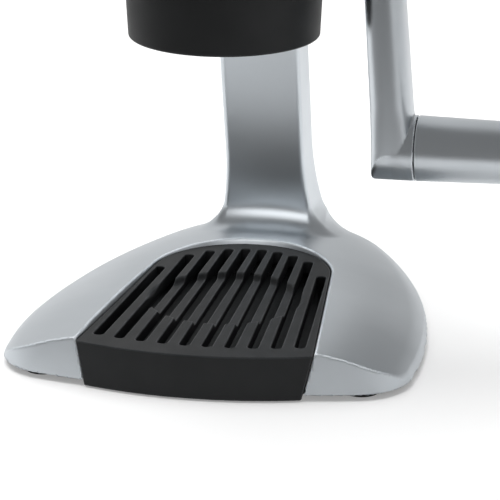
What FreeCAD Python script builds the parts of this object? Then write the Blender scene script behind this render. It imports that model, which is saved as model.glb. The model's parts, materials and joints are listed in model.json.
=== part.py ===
import FreeCAD, Part
import math
import os
from FreeCAD import Vector

# Hand-cranked ice crusher on a swept stand with a drip tray.
#
# Millimetres.  +Z up, +X towards the crank, +Y towards the back.
# The origin lies on the flat underside of the base, straight below the axis of
# the ice outlet.  The rubber feet reach FOOT_DROP below it.

# ---- base: outline seen from above, four blended arcs -----------------------
BASE_HALF_WIDTH = 92.6      # at its widest
BASE_WIDEST_Y = -18.0       # where it is widest
BASE_FRONT_Y = -74.3        # front-most point of the base
BASE_FRONT_R = 300.0        # shallow front arc
BASE_CORNER_R = 27.0        # front corners
BASE_REAR_R = 64.0          # rounded tail
BASE_TAIL = 20.4            # base behind the foot of the column
SKIRT_LEAN = 9.0            # degrees that the rim leans inwards going up
DECK_Z = 19.9               # top of the deck
RIM_DROP = 15.8             # how far the deck falls from there towards the rim
RIM_BAND = 50.0             # width of the band in which it falls
ROLL_DROP = 1.8             # how much further it rolls over at the rim
ROLL_BAND = 8.0             # width of that band
DECK_STEP = 6.0             # spacing of the points that the deck's surface runs through
SHELL = 2.6                 # wall of the stand casting

# ---- column -----------------------------------------------------------------
COLUMN_HALF_WIDTH = 19.0
COLUMN_DEPTH = 33.5
COLUMN_FOOT_Y = 103.0       # front face where it meets the deck
COLUMN_LEAN = 14.7          # degrees forwards going up
COLUMN_FRONT_EDGE_R = 2.5
COLUMN_REAR_EDGE_R = 9.0
MIN_EDGE_R = 0.8            # inner edges of the column and the neck
COLUMN_FLARE = 3.0          # extra half width at the deck
COLUMN_FLARE_H = 40.1       # height above the deck at which the flare starts
COLUMN_RISE = 5.0           # top of the column above the bottom of the housing
COLUMN_WALL = 3.0
COLUMN_WEB = 4.0            # closed top that carries the neck screws
FOOT_FILLET = 14.0          # sweep from column into deck

# ---- base plate, its screws and the feet --------------------------------------
PLATE_T = 2.0
PLATE_GAP = 0.2
PLATE_SCREW_R = 1.5
PLATE_SCREW_HEAD_R = 2.8
PLATE_SCREW_HEAD_H = 1.4
PLATE_SCREW_SINK = 0.2      # heads lie this far inside the underside
PLATE_SCREW_LENGTH = 7.8
PLATE_BOSS_R = 4.0
PLATE_SCREW_INSET = 20.0    # from the rim
PLATE_SCREW_YS = (-36.0, 30.0, 96.0)
SCREW_CLEARANCE = 0.2       # radial, where a screw passes through a piece
FOOT_DROP = 2.4
FOOT_R = 8.0
FOOT_SEAT = 1.0             # depth of the recess that holds a foot
FOOT_CHAMFER = 0.5
FOOT_INSET = 19.7           # centre of a foot from the side of the base
FOOT_FROM_FRONT = 21.3
FOOT_FROM_TAIL = 37.9

# ---- tray: outline shared by pocket, grille and pan -----------------------------
TRAY_SINK = 2.4             # top of the tray below the top of the deck
TRAY_REAR_R = 41.8          # round end of the tray
TRAY_REAR_Y = 36.0          # centre of that end
TRAY_FAN = 5.6              # degrees that each side opens towards the front
TRAY_FRONT_Y = -76.4        # front-most point at its top
TRAY_FRONT_R = 165.0
TRAY_SIDE_SLANT = 14.0      # degrees, the tray is narrower below
TRAY_FRONT_SLANT = 6.6      # degrees, the fascia reaches forwards below
FASCIA_CLEARANCE = 0.8      # between the fascia and the table
FASCIA_T = 3.5
POCKET_GAP = 0.5
PAN_GAP = 0.3
PAN_WALL = 1.8
GRILLE_T = 6.0
GRILLE_LIP_T = 1.5          # rib below the grille that sits inside the pan
GRILLE_LIP_H = 2.0
SEAT_R = 33.0               # round recess for the foot of a glass
SEAT_DEPTH = 2.5
SEAT_SLOPE = 40.0           # degrees that its edge leans outwards
SLOT_COUNT = 10
SLOT_HALF_WIDTH = 2.3
SLOT_SIDE_BORDER = 7.7      # outermost slot from the tray's front corner
SLOT_BORDER = 11.5          # slot ends behind the front edge
SLOT_FAN_Y = 580.0          # all slots point to this place on the centre line
SLOT_REAR_BORDER = 3.5      # slots end short of an arc this far inside the round end
SLOT_REAR_GAP = 6.0

# ---- head ---------------------------------------------------------------------
GLASS_ROOM = 122.0          # from the tray up to the outlet ring
RING_H = 29.1               # part of the ring that shows below the housing
RING_BOTTOM_R = 42.0
HEAD_DRAFT = 3.0            # degrees that ring and housing widen going up
HOUSING_H = 91.0
HOUSING_STEP = 1.4          # housing stands out over the ring
HOUSING_WALL = 2.6
RING_WALL = 3.2
RING_SPIGOT_H = 7.0
HEAD_FIT = 0.15             # radial gap of pieces that slide into the housing
HUB_RISE = 29.0             # crank and rotor axis above the bottom of the housing
BOSS_R = 19.0
BOSS_REACH = 12.0           # end of the boss beyond the housing's wall
LEFT_BOSS_R = 15.0
LEFT_BOSS_REACH = 7.5
BOSS_BLEND = 3.0
END_CAP_BORDER = 1.0        # edge of the left boss left round its cap
END_CAP_EDGE = 1.2
END_CAP_CROWN = 2.4
NECK_DROP = 7.6             # the neck has run into the housing this far below its top
NECK_ROOT = 12.0            # hidden front of the neck, inside the ring's radius
NECK_SINK = 2.5             # its upper end lies this far inside the housing's surface
NECK_FRONT_HASTE = 2.2      # how much sooner its front runs into the housing than its back
NECK_BACK_BOW = 0.55        # 0 is a straight back, 1 the fullest curve
NECK_BLEND = 5.0            # fillet between neck and housing
NECK_WALL = 3.0
NECK_BOSS_R = 7.0
NECK_BOSS_H = 16.0
NECK_SCREW_R = 2.5
NECK_SCREW_DEPTH = 12.0     # screwed into the head
NECK_SCREW_HEAD_R = 4.2
NECK_SCREW_HEAD_H = 4.0

# ---- hopper liner -----------------------------------------------------------------
LINER_WALL = 2.5
LINER_SEAT = 0.2            # above the spigot of the outlet ring
LINER_TOP_GAP = 3.0         # below the skirt of the lid
THROAT_SIDE_GAP = 2.0       # between the rotor's collar and a cheek
THROAT_FRONT_GAP = 13.0     # between the blades and the front wall
THROAT_CORNER_R = 8.0
FUNNEL_GAP = 2.4            # mouth of the throat above the blades
FUNNEL_MOUTH_R = 36.0

# ---- rotor and combs ----------------------------------------------------------------
BLADE_PITCH = 9.0
BLADE_T = 3.0
BLADE_TIP_R = 24.0
BLADE_ROOT_R = 14.0
BLADE_TEETH = 6
TOOTH_ANGLES = (0.0, 6.0, 16.0, 42.0)   # degrees: foot, tip, end of the tip, next foot
ROTOR_CLEARANCE = 3.0       # least gap between a blade and the round liner
SPACER_R = 9.5
END_SPACER_T = 2.5
SHAFT_R = 5.0
SHAFT_FLATS = 8.0           # across the two flats
LEFT_JOURNAL_R = 4.0
RIGHT_JOURNAL_R = 6.0
COLLAR_R = 8.0
COLLAR_T = 2.0
RUNNING_FIT = 0.05
BUSH_R = 9.0
LEFT_BUSH_R = 7.0
BUSH_REACH = 1.0            # bushes stand this far into the throat
LEFT_SHAFT_GAP = 3.0        # between the shaft's end and the end cap
ROTOR_NUT_HALF_AF = 7.0
ROTOR_NUT_T = 3.0
COMB_T = 2.5
COMB_TOOTH = 4.4
COMB_TIP_GAP = 2.5          # between the teeth's ends and the spacers
COMB_BACK_GAP = 2.0         # between the blades and the comb's back
COMB_BACK = 14.0
COMB_DROP = 3.0             # ends of the teeth below the rotor's axis
COMB_TILT = 22.0            # degrees down towards the rotor
COMB_SIDE_GAP = 0.5

# ---- crank ----------------------------------------------------------------------------
HUB_R = 17.0
HUB_LENGTH = 18.9
HUB_EDGE_R = 1.5
HUB_PLAY = 0.2              # between the washer and the boss
WASHER_R = 12.0
WASHER_T = 1.0
SEAT_LENGTH = 10.3          # flats that carry the crank
NUT_HALF_AF = 6.5
NUT_T = 6.5
NUT_POCKET_R = 10.0
THREAD_R = 4.0
THREAD_END = 1.0            # thread beyond the nut
CAP_T = 2.4
CAP_BORDER = 3.5            # edge of the hub left round the cap
CAP_EDGE_R = 1.6
CAP_PLUG = 0.8
CAP_FIT = 0.1
CRANK_RADIUS = 105.3        # from the hub axis down to the grip axis
ARM_TOP_OUT = 8.5           # arm axis at the hub, from the hub's inner face
ARM_BOTTOM_OUT = 16.3       # arm axis at the grip axis, from the same face
ARM_TOP_HALF = (8.2, 14.4)  # half thickness, half depth
ARM_BOTTOM_HALF = (9.3, 14.4)    # just inside the round of the stub
ARM_TOP_POWER = 2.4         # 2 is an ellipse, more is squarer
ARM_BOTTOM_POWER = 2.8
STUB_END_OUT = 26.3         # end of the stub, from the same face
ELBOW_R = 2.0               # round of the elbow's outer corner
GRIP_R = 14.45              # of grip and stub
GRIP_GAP = 0.5
GRIP_LENGTH = 95.0
GRIP_TAIL_R = 12.6
GRIP_END_FILLET = 4.0
SPINDLE_R = 4.0
SPINDLE_SEAT = 12.0         # length screwed into the stub
SPINDLE_HEAD_R = 7.0
SPINDLE_HEAD_T = 4.0
SPINDLE_PLAY = 0.7          # head of the spindle from the cap and from its seat
GRIP_CAP_T = 3.0
GRIP_CAP_PROUD = 0.4
GRIP_CAP_GAP = 0.5          # radial, round the spindle's head

# ---- lid -----------------------------------------------------------------------------
LID_GAP = 0.3
LID_EDGE_H = 4.0
LID_CROWN = 9.0
LID_WALL = 2.4
LID_SKIRT_H = 9.0
LID_SKIRT_GAP = 1.4         # between the skirt's foot and the housing
SEAL_T = 1.6
SEAL_PROUD = 1.0
SEAL_DROP = 3.0             # below the underside of the lid
KNOB_R = 14.0
KNOB_STEM_R = 7.0
KNOB_H = 20.0
KNOB_FOOT = 2.0             # foot of the knob wider than its stem
KNOB_EDGE_R = 2.5
KNOB_CROWN = 2.0
LID_SCREW_R = 2.0
LID_SCREW_REACH = 9.0
LID_SCREW_HEAD_R = 3.8
LID_SCREW_HEAD_H = 2.6
LID_FLAT_R = 4.5            # flat spot for the screw's head

FAR = 300.0                 # beyond every piece, for cutting tools


def tan(degrees):
    return math.tan(math.radians(degrees))


# ---- places that follow from the sizes above --------------------------------------------------
TRAY_TOP_Z = DECK_Z - TRAY_SINK
RING_BOTTOM_Z = TRAY_TOP_Z + GLASS_ROOM
HOUSING_BOTTOM_Z = RING_BOTTOM_Z + RING_H
HOUSING_TOP_Z = HOUSING_BOTTOM_Z + HOUSING_H
COLUMN_TOP_Z = HOUSING_BOTTOM_Z + COLUMN_RISE
COLUMN_FLARE_TOP = DECK_Z + COLUMN_FLARE_H
NECK_TOP_Z = HOUSING_TOP_Z - NECK_DROP
HUB_Z = HOUSING_BOTTOM_Z + HUB_RISE
GRIP_Z = HUB_Z - CRANK_RADIUS
FASCIA_DROP = FOOT_DROP - FASCIA_CLEARANCE


def head_radius(z):
    return RING_BOTTOM_R + (z - RING_BOTTOM_Z) * tan(HEAD_DRAFT)


def housing_radius(z):
    return head_radius(z) + HOUSING_STEP


def bore_radius(z):
    return housing_radius(z) - HOUSING_WALL


def liner_radius(z):
    return bore_radius(z) - HEAD_FIT - LINER_WALL


def blade_reach():
    """Blades on each side of the middle one: as many as the round liner has room for."""
    room = liner_radius(HUB_Z) - ROTOR_CLEARANCE
    half_stack = math.sqrt(room ** 2 - BLADE_TIP_R ** 2) - BLADE_T / 2
    return int(half_stack / BLADE_PITCH)


BLADE_REACH = blade_reach()
BLADE_PLACES = [i * BLADE_PITCH for i in range(-BLADE_REACH, BLADE_REACH + 1)]
STACK_END_X = BLADE_PLACES[-1] + BLADE_T / 2 + END_SPACER_T
THROAT_HALF_X = STACK_END_X + COLLAR_T + THROAT_SIDE_GAP
THROAT_HALF_Y = BLADE_TIP_R + THROAT_FRONT_GAP
FUNNEL_BOTTOM_Z = HUB_Z + BLADE_TIP_R + FUNNEL_GAP
LINER_BOTTOM_Z = HOUSING_BOTTOM_Z + RING_SPIGOT_H + LINER_SEAT
LINER_TOP_Z = HOUSING_TOP_Z - LINER_TOP_GAP - LID_SKIRT_H

BOSS_ROOT_X = BOSS_R                    # bosses start inside the bore
BOSS_END_X = housing_radius(HUB_Z) + BOSS_REACH
LEFT_BOSS_END_X = housing_radius(HUB_Z) + LEFT_BOSS_REACH
HUB_START_X = BOSS_END_X + HUB_PLAY + WASHER_T
HUB_END_X = HUB_START_X + HUB_LENGTH
SEAT_END_X = HUB_START_X + SEAT_LENGTH
STUB_END_X = HUB_START_X + STUB_END_OUT
GRIP_START_X = STUB_END_X + GRIP_GAP
GRIP_END_X = GRIP_START_X + GRIP_LENGTH
SPINDLE_HEAD_X = GRIP_END_X - GRIP_CAP_T - SPINDLE_PLAY - SPINDLE_HEAD_T

LID_LOW_Z = HOUSING_TOP_Z + LID_GAP
LID_TOP_Z = LID_LOW_Z + LID_EDGE_H + LID_CROWN
LID_SKIRT_R = bore_radius(LID_LOW_Z - LID_SKIRT_H) - LID_SKIRT_GAP


# ---- small helpers ----------------------------------------------------------------------
def polar(radius, degrees):
    angle = math.radians(degrees)
    return radius * math.cos(angle), radius * math.sin(angle)


def arc(start, middle, end):
    return Part.Arc(start, middle, end).toShape()


def line(start, end):
    return Part.LineSegment(start, end).toShape()


def box(low, high):
    size = Vector(*high) - Vector(*low)
    return Part.makeBox(size.x, size.y, size.z, Vector(*low))


def rod(radius, start_x, end_x, y=0.0, z=HUB_Z):
    """A cylinder along X."""
    return Part.makeCylinder(radius, end_x - start_x, Vector(start_x, y, z), Vector(1, 0, 0))


def post(radius, x, y, low_z, high_z):
    """A cylinder along Z."""
    return Part.makeCylinder(radius, high_z - low_z, Vector(x, y, low_z), Vector(0, 0, 1))


def cone_z(radius_low, radius_high, low_z, high_z):
    if abs(radius_low - radius_high) < 1e-6:
        return post(radius_low, 0, 0, low_z, high_z)
    return Part.makeCone(radius_low, radius_high, high_z - low_z, Vector(0, 0, low_z), Vector(0, 0, 1))


def crown_point(radius, height):
    """Half way along a round crown: how far out from the axis, and how far below the top."""
    ball_r = (radius ** 2 + height ** 2) / (2 * height)
    half = math.asin(radius / ball_r) / 2
    return ball_r * math.sin(half), ball_r * (1 - math.cos(half))


def both_sides(places):
    """Each place and its mirror image."""
    return [(side * x, y) for x, y in places for side in (1, -1)]


def fuse_all(shapes):
    first, rest = shapes[0], list(shapes[1:])
    if not rest:
        return first
    return first.multiFuse(rest).removeSplitter()


def save(name, shape):
    shape.exportStep("parts/" + name + ".step")
    solids = shape.Solids
    print("%-16s %2d solids  %9.0f mm3  %s" % (name, len(solids), shape.Volume, shape.isValid()))


# ---- outlines ---------------------------------------------------------------------------
def meeting_point(first_centre, first_radius, second_centre, second_radius):
    """Where two circles meet, on the side with the larger x."""
    gap = second_centre - first_centre
    span = gap.Length
    along = (first_radius ** 2 - second_radius ** 2 + span ** 2) / (2 * span)
    off = math.sqrt(first_radius ** 2 - along ** 2)
    unit = gap / span
    normal = Vector(-unit.y, unit.x, 0)
    spots = [first_centre + unit * along + normal * off, first_centre + unit * along - normal * off]
    return max(spots, key=lambda spot: spot.x)


# The long side arcs run from the widest place into the tail, which fixes their radius.
TAIL_Y = COLUMN_FOOT_Y + COLUMN_DEPTH + BASE_TAIL
REAR_CENTRE = Vector(0, TAIL_Y - BASE_REAR_R, 0)
BASE_SIDE_R = (
    (BASE_HALF_WIDTH ** 2 + (REAR_CENTRE.y - BASE_WIDEST_Y) ** 2 - BASE_REAR_R ** 2)
    / (2 * (BASE_HALF_WIDTH - BASE_REAR_R)))
SIDE_CENTRE = Vector(BASE_HALF_WIDTH - BASE_SIDE_R, BASE_WIDEST_Y, 0)
FRONT_CENTRE = Vector(0, BASE_FRONT_Y + BASE_FRONT_R, 0)
CORNER_CENTRE = meeting_point(
    FRONT_CENTRE, BASE_FRONT_R - BASE_CORNER_R, SIDE_CENTRE, BASE_SIDE_R - BASE_CORNER_R)


def on_circle(centre, towards, radius):
    unit = (towards - centre).normalize()
    return centre + unit * radius


def rim_x(y):
    """Half the width of the base, anywhere behind its front corners."""
    seam_y = on_circle(SIDE_CENTRE, REAR_CENTRE, BASE_SIDE_R).y
    if y > seam_y:
        return math.sqrt(BASE_REAR_R ** 2 - (y - REAR_CENTRE.y) ** 2)
    return SIDE_CENTRE.x + math.sqrt(BASE_SIDE_R ** 2 - (y - BASE_WIDEST_Y) ** 2)


def screw_places():
    """The screws of the base plate, on both sides."""
    return both_sides([(rim_x(y) - PLATE_SCREW_INSET, y) for y in PLATE_SCREW_YS])


def foot_places():
    """The rubber feet, on both sides."""
    ys = (BASE_FRONT_Y + FOOT_FROM_FRONT, TAIL_Y - FOOT_FROM_TAIL)
    return both_sides([(rim_x(y) - FOOT_INSET, y) for y in ys])


def base_wire(inset, z):
    """The outline of the base, moved inwards by inset: six arcs that run into each other."""
    front_r, side_r = BASE_FRONT_R - inset, BASE_SIDE_R - inset
    corner_r, rear_r = BASE_CORNER_R - inset, BASE_REAR_R - inset
    lift = Vector(0, 0, z)
    front_end = on_circle(FRONT_CENTRE, CORNER_CENTRE, front_r)
    side_start = on_circle(SIDE_CENTRE, CORNER_CENTRE, side_r)
    side_end = on_circle(SIDE_CENTRE, REAR_CENTRE, side_r)
    corner_mid = on_circle(CORNER_CENTRE, (front_end + side_start) / 2, corner_r)
    side_mid = on_circle(SIDE_CENTRE, (side_start + side_end) / 2, side_r)
    front = Vector(0, FRONT_CENTRE.y - front_r, 0)
    rear = Vector(0, REAR_CENTRE.y + rear_r, 0)

    def flip(spot):
        return Vector(-spot.x, spot.y, 0)

    runs = [
        (flip(front_end), front, front_end),
        (front_end, corner_mid, side_start),
        (side_start, side_mid, side_end),
        (side_end, rear, flip(side_end)),
        (flip(side_end), flip(side_mid), flip(side_start)),
        (flip(side_start), flip(corner_mid), flip(front_end)),
    ]
    return Part.Wire([arc(a + lift, b + lift, c + lift) for a, b, c in runs])


def tray_side(radius, z):
    """Where the right side of the tray leaves its round end, and the way it runs from there."""
    cos_fan, sin_fan = polar(1.0, TRAY_FAN)
    start = Vector(radius * cos_fan, TRAY_REAR_Y + radius * sin_fan, z)
    return start, Vector(sin_fan, -cos_fan, 0)


def tray_corner(radius, nose_y, z):
    """Where that side meets the front arc."""
    start, slide = tray_side(radius, z)
    reach = Vector(0, nose_y + TRAY_FRONT_R, z) - start
    along = reach.dot(slide)
    off = reach.Length ** 2 - along ** 2
    return start + slide * (along + math.sqrt(TRAY_FRONT_R ** 2 - off))


def tray_wire(z, grow=0.0, front_shift=0.0, front_y=None):
    """The outline of the tray at height z: round end, two fanned sides and the front arc.

    It is moved outwards by grow.  With front_y the front is straight and lies there.
    """
    below = TRAY_TOP_Z - z
    radius = TRAY_REAR_R + grow - below * tan(TRAY_SIDE_SLANT)
    start, slide = tray_side(radius, z)
    if front_y is None:
        nose_y = TRAY_FRONT_Y - below * tan(TRAY_FRONT_SLANT) + front_shift
        corner = tray_corner(radius, nose_y, z)
        left = Vector(-corner.x, corner.y, z)
        front = arc(left, Vector(0, nose_y, z), corner)
    else:
        corner = start + slide * ((front_y - start.y) / slide.y)
        left = Vector(-corner.x, corner.y, z)
        front = line(left, corner)
    left_start = Vector(-start.x, start.y, z)
    rear = Vector(0, TRAY_REAR_Y + radius, z)
    return Part.Wire([front, line(corner, start), arc(start, rear, left_start), line(left_start, left)])


def tray_block(low_z, high_z, **outline):
    """A tapered block with the tray's outline."""
    wires = [tray_wire(low_z, **outline), tray_wire(high_z, **outline)]
    return Part.makeLoft(wires, True, True)


def rounded_rectangle(half_x, front_y, rear_y, front_r, rear_r, z):
    """A rectangle about x = 0 with its own radius at the front and at the rear corners."""
    def corner(side, y, radius, inwards):
        bow = radius * (1 - math.sqrt(0.5))
        return (
            Vector(side * half_x, y + inwards * radius, z),
            Vector(side * (half_x - bow), y + inwards * bow, z),
            Vector(side * (half_x - radius), y, z),
        )

    fr = corner(1, front_y, front_r, 1)
    rr = corner(1, rear_y, rear_r, -1)
    rl = corner(-1, rear_y, rear_r, -1)
    fl = corner(-1, front_y, front_r, 1)
    return Part.Wire([
        line(fl[2], fr[2]), arc(fr[2], fr[1], fr[0]),
        line(fr[0], rr[0]), arc(rr[0], rr[1], rr[2]),
        line(rr[2], rl[2]), arc(rl[2], rl[1], rl[0]),
        line(rl[0], fl[0]), arc(fl[0], fl[1], fl[2]),
    ])


# ---- stand --------------------------------------------------------------------------------
def inside_rim(x, y):
    """How far a place lies inside the rim, measured from the side arcs and the tail."""
    spot = Vector(abs(x), y, 0)
    tail = spot - REAR_CENTRE
    seam = REAR_CENTRE - SIDE_CENTRE
    if tail.y > 0 and abs(tail.x) * seam.y <= tail.y * seam.x:
        return BASE_REAR_R - tail.Length
    return BASE_SIDE_R - (spot - SIDE_CENTRE).Length


def deck_height(x, y):
    """The deck falls towards the rim and rolls over at it."""
    inset = inside_rim(x, y)
    fall = max(0.0, 1 - inset / RIM_BAND)
    roll = max(0.0, 1 - inset / ROLL_BAND)
    return DECK_Z - RIM_DROP * fall ** 2 - ROLL_DROP * roll ** 2


def below_deck(drop):
    """Everything below the crowned deck, with the deck lowered by drop."""
    margin = 2 * DECK_STEP
    across = int((BASE_HALF_WIDTH + margin) / DECK_STEP)
    front = BASE_FRONT_Y - margin
    rows = int((TAIL_Y + margin - front) / DECK_STEP)
    grid = []
    for i in range(-across, across + 1):
        column = []
        for j in range(rows + 1):
            x, y = i * DECK_STEP, front + j * DECK_STEP
            column.append(Vector(x, y, deck_height(x, y) - drop))
        grid.append(column)
    surface = Part.BSplineSurface()
    surface.interpolate(grid)
    return surface.toShape().extrude(Vector(0, 0, -4 * DECK_Z))


def skirt(inset, low_z):
    """The leaning rim of the base, as a block that stands above the deck."""
    high_z = 2 * DECK_Z
    wires = [base_wire(inset + z * tan(SKIRT_LEAN), z) for z in (low_z, high_z)]
    return Part.makeLoft(wires, True, True)


def column_front(z):
    return COLUMN_FOOT_Y - (z - DECK_Z) * tan(COLUMN_LEAN)


def column_block(inset, low_z, high_z):
    """The leaning column, flared towards its foot, moved inwards by inset."""
    levels = [low_z + (COLUMN_FLARE_TOP - low_z) * i / 3.0 for i in range(4)]
    levels += [(COLUMN_FLARE_TOP + high_z) / 2, high_z]
    wires = []
    for z in levels:
        reach = max(0.0, COLUMN_FLARE_TOP - z) / (COLUMN_FLARE_TOP - DECK_Z)
        flare = COLUMN_FLARE * reach ** 2
        front = column_front(z)
        wires.append(rounded_rectangle(
            COLUMN_HALF_WIDTH + flare - inset, front + inset, front + COLUMN_DEPTH + flare - inset,
            max(MIN_EDGE_R, COLUMN_FRONT_EDGE_R - inset), COLUMN_REAR_EDGE_R - inset, z))
    return Part.makeLoft(wires, True, False)


def foot_edges(shape):
    """The edges where the column meets the deck."""
    slack = COLUMN_FLARE + 2.0
    found = []
    for edge in shape.Edges:
        low, high = edge.BoundBox.ZMin, edge.BoundBox.ZMax
        centre = edge.BoundBox.Center
        beside = abs(centre.x) < COLUMN_HALF_WIDTH + slack
        along = COLUMN_FOOT_Y - slack < centre.y < COLUMN_FOOT_Y + COLUMN_DEPTH + slack
        if beside and along and low > DECK_Z - RIM_DROP and high < DECK_Z + 1:
            found.append(edge)
    return found


def neck_screw_places():
    """The two screws that hold the head, in the web at the top of the column."""
    middle = column_front(COLUMN_TOP_Z) + COLUMN_DEPTH / 2
    return [(side * COLUMN_HALF_WIDTH / 2, middle) for side in (1, -1)]


def stand():
    base = skirt(0, 0).common(below_deck(0))
    outer = base.fuse(column_block(0, 0, COLUMN_TOP_Z)).removeSplitter()
    outer = outer.makeFillet(FOOT_FILLET, foot_edges(outer))
    hollow = skirt(SHELL, -1).common(below_deck(SHELL))
    pocket_wall = tray_block(-1, 2 * DECK_Z, grow=POCKET_GAP + SHELL, front_y=2 * BASE_FRONT_Y)
    hollow = hollow.cut(pocket_wall)
    shaft = column_block(COLUMN_WALL, -1, COLUMN_TOP_Z - COLUMN_WEB)
    shell = outer.cut(hollow).cut(shaft)
    pocket = tray_block(-4, 3 * DECK_Z, grow=POCKET_GAP, front_y=2 * BASE_FRONT_Y)
    shell = shell.cut(pocket)
    seat = Part.Face(base_wire(SHELL, -1)).extrude(Vector(0, 0, PLATE_T + 1))
    shell = shell.cut(seat)
    bosses = [post(PLATE_BOSS_R, x, y, PLATE_T, 3 * DECK_Z) for x, y in screw_places()]
    shell = fuse_all([shell] + [boss.common(base) for boss in bosses])
    for x, y in screw_places():
        shell = shell.cut(post(PLATE_SCREW_R, x, y, 0, PLATE_SCREW_LENGTH + 1))
    for x, y in neck_screw_places():
        hole_r = NECK_SCREW_R + SCREW_CLEARANCE
        shell = shell.cut(post(hole_r, x, y, COLUMN_TOP_Z - COLUMN_WEB - 1, COLUMN_TOP_Z + 1))
    return shell


def base_plate():
    plate = Part.Face(base_wire(SHELL + PLATE_GAP, 0)).extrude(Vector(0, 0, PLATE_T))
    fascia_room = tray_block(-FASCIA_DROP, TRAY_TOP_Z, grow=POCKET_GAP, front_shift=-POCKET_GAP)
    behind = tray_block(-2 * FASCIA_DROP, 2 * DECK_Z, grow=10.0, front_shift=FASCIA_T + POCKET_GAP)
    plate = plate.cut(fascia_room.cut(behind))
    for x, y in foot_places():
        plate = plate.cut(post(FOOT_R + RUNNING_FIT, x, y, -1, FOOT_SEAT))
    for x, y in screw_places():
        plate = plate.cut(post(PLATE_SCREW_R + SCREW_CLEARANCE, x, y, -1, PLATE_T + 1))
        plate = plate.cut(post(PLATE_SCREW_HEAD_R + SCREW_CLEARANCE, x, y, -1, PLATE_SCREW_HEAD_H))
    return plate


def base_screws():
    screws = []
    low = PLATE_SCREW_SINK
    for x, y in screw_places():
        head = post(PLATE_SCREW_HEAD_R, x, y, low, PLATE_SCREW_HEAD_H)
        shank = post(PLATE_SCREW_R, x, y, low, low + PLATE_SCREW_LENGTH)
        screws.append(head.fuse(shank).removeSplitter())
    return Part.makeCompound(screws)


def feet():
    pads = []
    for x, y in foot_places():
        pad = post(FOOT_R, x, y, -FOOT_DROP, FOOT_SEAT)
        sole = [edge for edge in pad.Edges if edge.BoundBox.ZMax < -FOOT_DROP + 0.1]
        pads.append(pad.makeChamfer(FOOT_CHAMFER, sole))
    return Part.makeCompound(pads)


# ---- tray ------------------------------------------------------------------------------
def slot_cut(front_x):
    """A slot with round ends that points to the common place behind the stand."""
    arc_y = TRAY_FRONT_Y + TRAY_FRONT_R - math.sqrt(TRAY_FRONT_R ** 2 - front_x ** 2)
    start = Vector(front_x, arc_y + SLOT_BORDER + SLOT_HALF_WIDTH, 0)
    unit = (Vector(0, SLOT_FAN_Y, 0) - start).normalize()
    narrow = front_x * (SLOT_FAN_Y - TRAY_REAR_Y) / (SLOT_FAN_Y - start.y)
    end_r = TRAY_REAR_R - SLOT_REAR_BORDER
    end_y = TRAY_REAR_Y + math.sqrt(max(0.0, end_r ** 2 - narrow ** 2)) - SLOT_REAR_GAP
    end = start + unit * ((end_y - start.y) / unit.y)
    side = Vector(unit.y, -unit.x, 0) * SLOT_HALF_WIDTH
    cap = unit * SLOT_HALF_WIDTH
    wire = Part.Wire([
        line(start + side, end + side), arc(end + side, end + cap, end - side),
        line(end - side, start - side), arc(start - side, start - cap, start + side),
    ])
    return Part.Face(wire).extrude(Vector(0, 0, 2 * DECK_Z))


def drip_grille():
    """The black top of the tray, moulded in one piece with its front fascia."""
    low_z = -FASCIA_DROP
    whole = tray_block(low_z, TRAY_TOP_Z)
    under = TRAY_TOP_Z - GRILLE_T
    behind = tray_block(low_z - 1, under, grow=10.0, front_shift=FASCIA_T)
    cover = whole.cut(behind)
    gap = PAN_GAP + PAN_WALL + PAN_GAP
    lip_outer = tray_block(under - GRILLE_LIP_H, under, grow=-gap, front_shift=FASCIA_T + gap)
    lip_inner = tray_block(
        under - GRILLE_LIP_H, under, grow=-gap - GRILLE_LIP_T, front_shift=FASCIA_T + gap + GRILLE_LIP_T)
    cover = cover.fuse(lip_outer.cut(lip_inner)).removeSplitter()
    seat_z, above = TRAY_TOP_Z - SEAT_DEPTH, TRAY_TOP_Z + 1
    cover = cover.cut(cone_z(SEAT_R, SEAT_R + (above - seat_z) * tan(SEAT_SLOPE), seat_z, above))
    spread = tray_corner(TRAY_REAR_R, TRAY_FRONT_Y, TRAY_TOP_Z).x - SLOT_SIDE_BORDER
    for i in range(SLOT_COUNT):
        place = 2.0 * i / (SLOT_COUNT - 1) - 1
        cover = cover.cut(slot_cut(place * spread))
    return cover


def drip_tray():
    """The pan that catches melt water, hidden behind the fascia."""
    floor_z = PLATE_T + PAN_GAP
    rim_z = TRAY_TOP_Z - GRILLE_T
    front = FASCIA_T + PAN_GAP
    outer = tray_block(floor_z, rim_z, grow=-PAN_GAP, front_shift=front)
    inner = tray_block(
        floor_z + PAN_WALL, rim_z, grow=-PAN_GAP - PAN_WALL, front_shift=front + PAN_WALL)
    return outer.cut(inner)


# ---- head --------------------------------------------------------------------------------
def bore_cone(inset, low_z, high_z):
    return cone_z(bore_radius(low_z) - inset, bore_radius(high_z) - inset, low_z, high_z)


def neck_block(inset=0.0):
    """The part of the housing that carries on from the column and bends forwards into the cone."""
    front, rear = column_front(COLUMN_TOP_Z), column_front(COLUMN_TOP_Z) + COLUMN_DEPTH
    front_end = RING_BOTTOM_R - NECK_ROOT
    rear_end = housing_radius(NECK_TOP_Z) - NECK_SINK
    rise = NECK_TOP_Z - COLUMN_TOP_Z
    wires = []
    for i in range(6):
        part = i / 5.0
        front_y = front + (front_end - front) * min(1.0, NECK_FRONT_HASTE * part)
        rear_y = rear + (rear_end - rear) * ((1 - NECK_BACK_BOW) * part + NECK_BACK_BOW * part ** 2)
        wires.append(rounded_rectangle(
            COLUMN_HALF_WIDTH - inset, front_y + inset, rear_y - inset,
            max(MIN_EDGE_R, COLUMN_FRONT_EDGE_R - inset), COLUMN_REAR_EDGE_R - inset,
            COLUMN_TOP_Z + part * rise))
    return Part.makeLoft(wires, True, False)


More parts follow.
